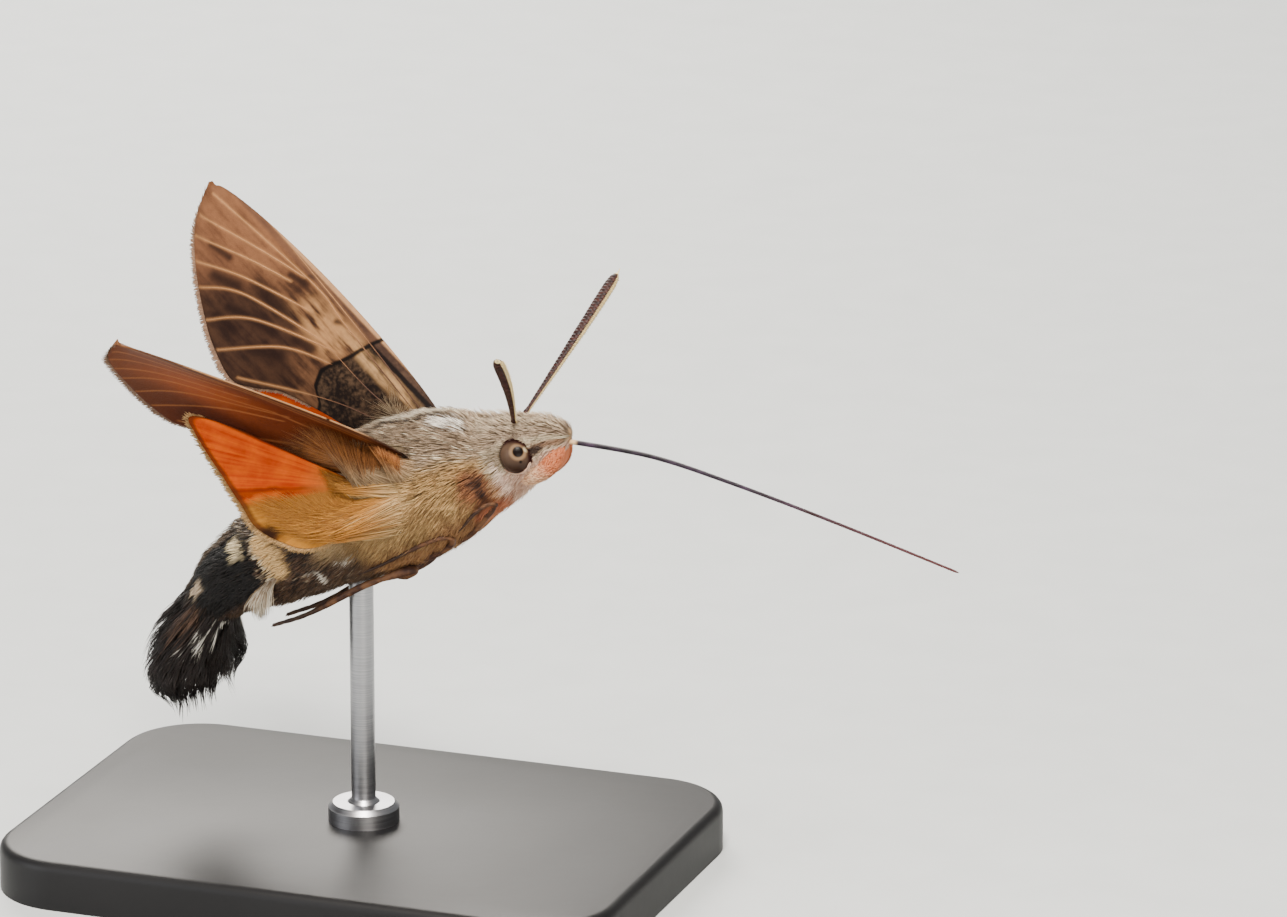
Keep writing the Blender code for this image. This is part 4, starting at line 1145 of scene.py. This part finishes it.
for label in ("left", "right"):
    # Forewing
    name = "forewing_" + label
    along_share, across_share = grid_shares(FOREWING_GRID)
    points, u, v = forewing_points(name, along_share, across_share)
    near_vein = np.zeros(len(u))
    for corners in FOREWING_VEINS:
        away = away_from_line(u, v, corners)
        near_vein = np.maximum(near_vein, np.exp(-(away / PAINTED_VEIN) ** 2))
    inner = u - np.interp(v, [c[1] for c in INNER_LINE], [c[0] for c in INNER_LINE])
    ink = np.zeros(len(u))
    for half, *corners in DARK_STROKES:
        ink = np.maximum(ink, np.exp(-0.4 * (away_from_line(u, v, corners) / half) ** 2))
    piece = membrane(name, points, columns(u, v, near_vein),
                     columns(inner, ink, ink * 0), FOREWING_GRID,
                     wing_finishes["forewing", "upper"], wing_finishes["forewing", "under"])
    keep(piece, "forewing", name)
    lines = []
    for corners in FOREWING_VEINS:
        line = rows_at(corners, np.linspace(0, len(corners) - 1, VEIN_RINGS))
        share = np.clip(line[:, 0] / FOREWING_LENGTH, 0, 1)
        front, rear = forewing_edges(share)
        across = np.clip((line[:, 1] - front) / (rear - front), 0.0, 1.0)
        lines.append((forewing_points(name, share, across, VEIN_LIFT)[0], line[:, 0]))
    keep(vein_tubes(name + "_veins", lines, VEIN_RADIUS, name, vein_finish.material), "forewing")
    share = np.tile(np.linspace(0.34, 0.995, FRINGE_SCALES), 2)
    edge = forewing_points(name, share, np.ones(len(share)))[0]
    inside = forewing_points(name, share - 0.006, np.full(len(share), 0.95))[0]
    fringe_length = np.interp(share, (0.34, 0.5, 0.6, 1.0), (0.35, 0.45, 0.6, 0.5))
    edge_fringe(name, share, edge, inside, fringe_length, 0.09, 0.0, 111)

    # Hindwing
    name = "hindwing_" + label
    angle_share, reach_share = grid_shares(HINDWING_GRID)
    points, far, degrees = hindwing_points(name, angle_share, reach_share)
    near_vein = np.zeros(len(far))
    for vein_degrees in HINDWING_VEINS:
        away = np.abs(np.radians(degrees - vein_degrees)) * far
        near_vein = np.maximum(near_vein, np.exp(-(away / HINDWING_PAINTED_VEIN) ** 2))
    margin = curve_at(HINDWING_EDGE, degrees) - far
    piece = membrane(name, points, columns(far, degrees, near_vein),
                     columns(margin, far * 0, far * 0), HINDWING_GRID,
                     wing_finishes["hindwing", "upper"], wing_finishes["hindwing", "under"])
    keep(piece, "hindwing", name)
    lines = []
    first_degrees, last_degrees = HINDWING_EDGE[0][0], HINDWING_EDGE[-1][0]
    for vein_degrees in HINDWING_VEINS[:HINDWING_TUBES]:
        reach = np.linspace(0.02, 0.97, HINDWING_VEIN_RINGS)
        share = (vein_degrees - first_degrees) / (last_degrees - first_degrees) + reach * 0
        lines.append(hindwing_points(name, share, reach)[:2])
    keep(vein_tubes(name + "_veins", lines, HINDWING_VEIN_RADIUS, name, vein_gold.material), "hindwing")
    share = np.tile(np.linspace(0.012, 0.995, HINDWING_FRINGE_SCALES), 2)
    edge = hindwing_points(name, share, np.ones(len(share)))[0]
    inside = hindwing_points(name, share, np.full(len(share), 0.95))[0]
    edge_fringe(name, share, edge, inside, 0.5, 0.085, 1.0, 121)

# Hair at the wings' roots
# Long soft hair that grows from the thorax beside each wing and spreads over the wing's base on
# both faces, so that body and wing run into each other without an edge.
ROOT_HAIR = (               # wing, the roots' stations and degrees, the tips' two shares of the wing,
                            # 1 for its upper face or -1 for the lower, how many
    ("hindwing", (8.5, 10.6), (46, 96), (0.30, 1.0), (0.12, 0.95), -1, 3400),
    ("hindwing", (8.7, 9.9), (86, 108), (0.0, 0.36), (0.03, 0.26), -1, 1000),
    ("hindwing", (9.0, 10.3), (98, 124), (0.02, 1.0), (0.25, 0.55), 1, 900),
    ("forewing", (8.0, 9.9), (88, 108), (0.08, 0.34), (0.12, 0.98), -1, 1500),
    ("forewing", (8.1, 9.1), (92, 114), (0.0, 0.15), (0.0, 0.5), -1, 900),
    ("forewing", (8.0, 9.9), (112, 136), (0.05, 0.20), (0.18, 0.98), 1, 900))
HAIR_KIND = {("hindwing", -1): 1.0, ("forewing", -1): 0.45}      # ochre and brown, the rest grey
ROOT_HAIR_WIDTH = 0.07
root_hair = Finish("hair at the wing roots", 0.65, 0.25)
hair_kind, _, hair_along = root_hair.parts("coat")
hair_shade = root_hair.number("shade")
hair_ochre = root_hair.mix((150, 104, 44), (190, 142, 72), hair_shade)
hair_ochre = root_hair.mix(root_hair.mix((150, 120, 80), (206, 180, 136), hair_shade),
                           hair_ochre, hair_along.rise(0.3, 0.8))
hair_grey = root_hair.mix((104, 88, 70), (160, 142, 116), hair_shade)
hair_brown = root_hair.mix((112, 70, 36), (168, 118, 68), hair_shade)
hair_brown = root_hair.mix(root_hair.mix((128, 106, 82), (188, 164, 132), hair_shade),
                           hair_brown, hair_along.rise(0.3, 0.85))
hair_colour = root_hair.mix(root_hair.mix(hair_grey, hair_brown, hair_kind.rise(0.2, 0.3)), hair_ochre,
                            hair_kind.rise(0.6, 0.8))
# Painted shade: each hair is painted darker towards its root, where it is crowded at the thorax.
root_hair.paint(Base_Color=root_hair.dim(hair_colour, 0.72 + hair_along * 0.35))
for label, side in SIDES:
    for index, (wing, stations, degrees, first_share, second_share, face, count) in enumerate(ROOT_HAIR):
        random = np.random.default_rng(151 + index)
        order = np.sort(random.random(count))
        jitter = random.normal(0, 0.06, count)
        at_station = stations[0] + (stations[1] - stations[0]) * (1 - order) + jitter
        at_degrees = random.uniform(*degrees, count) * side
        far_share = np.clip(first_share[0] + (first_share[1] - first_share[0]) * (
            order if wing == "hindwing" else random.random(count)) + jitter * 0.2, 0.005, 0.995)
        wide_share = second_share[0] + (second_share[1] - second_share[0]) * (
            random.random(count) ** 1.8 if wing == "hindwing" else order)
        wing_points = hindwing_points if wing == "hindwing" else forewing_points
        lift = face * random.uniform(0.12, 0.3, count)
        tip = wing_points(f"{wing}_{label}", far_share, wide_share, lift)[0]
        root = body_points(at_station, at_degrees, skin_share(at_station) - ROOT_DEPTH)
        outward = body_outward(at_station, at_degrees)
        up = wing_axes(f"{wing}_{label}")[3] * face
        bulge = (outward * 0.22 + up * 0.12) * MM
        centres = np.stack([root + (tip - root) * at + bulge * math.sin(math.pi * at)
                            for at in TUFT_AT], axis=1)
        kind = HAIR_KIND.get((wing, face), 0.0)
        blades(f"root_hair_{wing}_{label}_{index}", "thorax_coat", centres, unit(outward + up),
               ROOT_HAIR_WIDTH * random.uniform(0.8, 1.3, count), 0.35,
               columns(order * 0.98 + 0.01, wide_share * 0.9 + 0.05),
               columns(np.full(count, kind), order), random.random(count),
               root_hair.material)

# Legs
# Six thin jointed legs folded back along the underside: a thicker thigh in the coat, a straight
# shin with a pair of spurs, and a foot of short segments that ends in two claws.
LEGS = {                    # station, degrees from the middle of the underside, height over the coat
    "leg_front": ((8.75, 14, 0.4), (8.2, 17, 0.5), (7.6, 22, 0.5), (7.15, 30, 0.45), (6.95, 40, 0.5),
                  (7.2, 46, 0.5), (7.6, 43, 0.5), (8.0, 38, 0.45), (8.35, 35, 0.45)),
    "leg_middle": ((9.7, 16, 0.4), (9.2, 19, 0.5), (8.8, 24, 0.5), (8.65, 33, 0.5), (8.85, 42, 0.5),
                   (9.3, 44, 0.5), (9.9, 42, 0.5), (10.5, 39, 0.5), (11.0, 37, 0.5)),
    "leg_hind": ((10.5, 10, 0.4), (10.2, 14, 0.5), (9.9, 20, 0.5), (10.1, 25, 0.5), (10.6, 24, 0.5),
                 (11.1, 22, 0.5), (11.6, 20, 0.7), (12.1, 18, 0.95), (12.6, 16, 1.1), (13.1, 15, 1.15),
                 (13.45, 14, 1.2)),
}
LEG_SINK = {"leg_front": 0.52, "leg_middle": 0.48, "leg_hind": 0.1}     # how deep in the coat
LEG_RINGS, LEG_SIDES = 90, 10
LEG_PLACES = (0, 0.08, 0.35, 0.42, 0.46, 0.66, 0.70, 1)
LEG_RADII = (0.16, 0.24, 0.2, 0.12, 0.15, 0.14, 0.1, 0.07)
HIND_LEG_GIRTH = 1.45
FOOT_FROM = 0.68
# The spurs and the two claws: the ring of the leg that each stands on, and its length in mm
SPURS = ((58, 0.8), (58, 0.6), (50, 0.6), (50, 0.45), (88, 0.2), (88, 0.2))
SHIN_SPINES = np.arange(40, 86, 3)          # the rings that a short spine stands on
SPINE_LENGTH = 0.2
leg_finish = Finish("leg", 0.6, 0.2)
leg_at = leg_finish.parts("wing")[0]
leg_grain = leg_finish.noise(1500.0, 3.0)
leg_colour = leg_finish.mix((70, 46, 36), (124, 92, 66), leg_grain.rise(0.35, 0.7))
leg_colour = leg_finish.mix(leg_colour, (58, 44, 38), leg_at.rise(0.6, 0.75) * 0.8)
leg_finish.paint(Base_Color=leg_colour, Normal=leg_finish.bump(leg_at.wave(0.03), 0.00001))
for leg_name, route in LEGS.items():
    for label, side in SIDES:
        at = np.linspace(0, len(route) - 1, LEG_RINGS)
        station, degrees, lift = rows_at(route, at).T
        outward = body_outward(station, degrees * side)
        over_coat = (lift - LEG_SINK[leg_name]) * MM
        line = body_points(station, degrees * side) + outward * over_coat[:, None]
        share = np.linspace(0, 1, LEG_RINGS)
        half = np.interp(share, LEG_PLACES, LEG_RADII)
        half = half * (HIND_LEG_GIRTH if leg_name == "leg_hind" else 1.0)
        half = half * np.where(share > FOOT_FROM, 1 + 0.16 * np.abs(np.sin(share * 46)), 1) * MM
        half[-2:] *= (0.7, 0.3)
        mesh = loft_mesh(tube_rings(line, half, half, LEG_SIDES, (0, 1, 0)), leg_name)
        marks = columns(share, share * 0, share * 0)
        carry(mesh, "wing", np.repeat(marks, LEG_SIDES, axis=0))
        node = f"{leg_name}_{label}"
        keep(link_mesh(node + "_shaft", mesh, leg_finish.material), "leg", node)
        # Spurs, claws and the short spines of the shin
        run = unit(np.gradient(line, axis=0))
        spines = np.concatenate(([ring for ring, _ in SPURS], SHIN_SPINES))
        across = unit(np.cross(run[spines], outward[spines]))
        sides = np.where(np.arange(len(spines)) % 2 == 0, 1.0, -1.0)[:, None]
        heading = unit(run[spines] + across * sides * 0.5 + outward[spines] * 0.25)
        length = np.append([spur for _, spur in SPURS], SPINE_LENGTH + SHIN_SPINES * 0)
        middles = np.full((len(spines), 2), 0.5)
        lay(node + "_spines", "leg", line[spines], heading, outward[spines], length, width=0.06,
            lift=0.02, unwrap=middles, marks=middles * 0, seed=131, material=leg_finish.material,
            flat=0.6, stray=4.0)

# Side tufts
# A white brush of long soft hairs that hangs from each flank just in front of the black tail
# segments. The hairs share one root and spread a little towards their tips.
SIDE_TUFT = ((12.4, 72, 0.35, 0.25), (12.65, 66, 0.50, 0.36), (12.85, 58, 0.68, 0.40),
             (13.0, 50, 0.92, 0.34), (13.12, 43, 1.25, 0.25))
SIDE_HAIRS, SIDE_HAIR_WIDTH = 300, 0.055
# How much shorter each lock of the tuft is, and how far it leans aside
SIDE_LOCKS = ((0.0, -0.1), (0.7, 0.45), (1.5, 1.1), (0.35, -0.7))
pale_hair = Finish("pale tuft", 0.6, 0.3)
pale_shade = pale_hair.number("shade")
pale_along = pale_hair.parts("coat")[2]
pale_colour = pale_hair.mix((158, 134, 104), (240, 230, 212),
                            (pale_shade + pale_along * 0.5).rise(0.1, 1.1))
# Painted shade: each hair of the tuft is painted darker still towards its root against the flank.
pale_hair.paint(Base_Color=pale_hair.dim(pale_colour, 0.75 + pale_along * 0.3))
for label, side in SIDES:
    random = np.random.default_rng(141)
    aside, above = random.normal(0, 0.5, (2, SIDE_HAIRS))
    begin = random.uniform(-0.3, 0.9, SIDE_HAIRS)
    lock = (random.random(SIDE_HAIRS) * len(SIDE_LOCKS)).astype(int)
    shorter, lock_aside = np.array(SIDE_LOCKS)[lock].T
    end = 3.9 - shorter * random.uniform(0.8, 1.2, SIDE_HAIRS)
    centres = []
    for at in TUFT_AT:
        station, degrees, lift, radius = rows_at(SIDE_TUFT, begin * (1 - at) + at * end).T
        outward = body_outward(station, degrees * side)
        station = station + radius * (aside * (0.4 + 0.25 * at) + lock_aside * at * 0.5)
        lift = (lift - 0.45 * (1 - at)) + above * radius * (0.9 - 0.3 * at)
        centres.append(body_points(station, degrees * side) + outward * (lift * MM)[:, None])
    centres = np.stack(centres, axis=1)
    unwrap = columns(0.5 + aside * 0.2, 0.5 + above * 0.2)
    shades = np.clip(random.normal(0.45, 0.35, SIDE_HAIRS), 0, 1)
    blades("side_tuft_hair_" + label, "pale_tuft", centres, outward,
           np.full(SIDE_HAIRS, SIDE_HAIR_WIDTH), 0.4, unwrap, unwrap * 0, shades, pale_hair.material,
           "side_tuft_" + label)

# Stand
# A black lacquered base with an eased top edge and a short brushed steel rod, screwed up into it
# through a turned foot.
BASE_SIZE = (40.0, 28.0, 3.0)
BASE_CORNER, BASE_EASE = 5.0, 0.6
ROD_RADIUS, ROD_TOP = 0.75, 22.0
FOOT_RADIUS, FOOT_HEIGHT, FOOT_EASE = 2.2, 1.2, 0.3
lacquer = Finish("black lacquer", 0.45, 0.2)
cloudy = lacquer.noise(60.0, 4.0)
orange_peel = lacquer.noise(900.0, 2.0)
lacquer.paint(Base_Color=lacquer.mix((22, 22, 24), (44, 43, 44), cloudy),
              Roughness=0.4 + cloudy * 0.15, Normal=lacquer.bump(orange_peel, 0.00002, 0.3))
bm = bmesh.new()
bmesh.ops.create_cube(bm, size=1.0)
bmesh.ops.scale(bm, verts=bm.verts[:], vec=Vector(BASE_SIZE) * MM)
bmesh.ops.translate(bm, verts=bm.verts[:], vec=(0, 0, BASE_SIZE[2] / 2 * MM))
uprights = [edge for edge in bm.edges if abs(edge.verts[0].co.z - edge.verts[1].co.z) > 0.001]
bmesh.ops.bevel(bm, geom=uprights, offset=BASE_CORNER * MM, segments=14, profile=0.5, affect="EDGES",
                material=-1)
rims = [edge for edge in bm.edges if all(vert.co.z > (BASE_SIZE[2] - 0.01) * MM for vert in edge.verts)]
bmesh.ops.bevel(bm, geom=rims, offset=BASE_EASE * MM, segments=4, profile=0.5, affect="EDGES",
                material=-1)
base = link_mesh("display_base", mesh_from(bm, "display base"), lacquer.material)
base.data.set_sharp_from_angle(angle=math.radians(40))
keep(base, "stand_base", "stand_base")
steel = Finish("brushed steel", 0.3, metal=1.0)
rod_x, rod_y, rod_z = (steel.node("ShaderNodeSeparateXYZ", None, {0: steel.here()}, axis)
                       for axis in range(3))
brushed = steel.noise(1.0, 2.0, steel.vector(rod_x * 400, rod_y * 400, rod_z * 16000))
steel.paint(Base_Color=steel.mix((150, 150, 153), (196, 196, 198), brushed),
            Roughness=0.24 + brushed * 0.18, Normal=steel.bump(brushed, 0.00001, 0.4))
foot_low = BASE_SIZE[2] - 0.4
foot_top = BASE_SIZE[2] + FOOT_HEIGHT
rod_top = foot_top + ROD_TOP - FOOT_HEIGHT
profile = ((0, foot_low), (FOOT_RADIUS, foot_low), (FOOT_RADIUS, foot_top - FOOT_EASE),
           (FOOT_RADIUS - FOOT_EASE, foot_top), (ROD_RADIUS + 0.25, foot_top),
           (ROD_RADIUS, foot_top + 0.25), (ROD_RADIUS, rod_top - 0.2), (ROD_RADIUS - 0.2, rod_top),
           (0, rod_top))
bm = bmesh.new()
corners = [bm.verts.new((x * MM, 0, z * MM)) for x, z in profile]
line = [bm.edges.new(pair) for pair in zip(corners, corners[1:])]
bmesh.ops.spin(bm, geom=corners + line, cent=(0, 0, 0), axis=(0, 0, 1), angle=math.tau, steps=64,
               use_merge=True)
bmesh.ops.remove_doubles(bm, verts=bm.verts[:], dist=0.000002)
bmesh.ops.recalc_face_normals(bm, faces=bm.faces[:])
rod = link_mesh("display_rod", mesh_from(bm, "display rod"), steel.material)
rod.data.set_sharp_from_angle(angle=math.radians(30))
keep(rod, "stand_rod", "stand_rod")
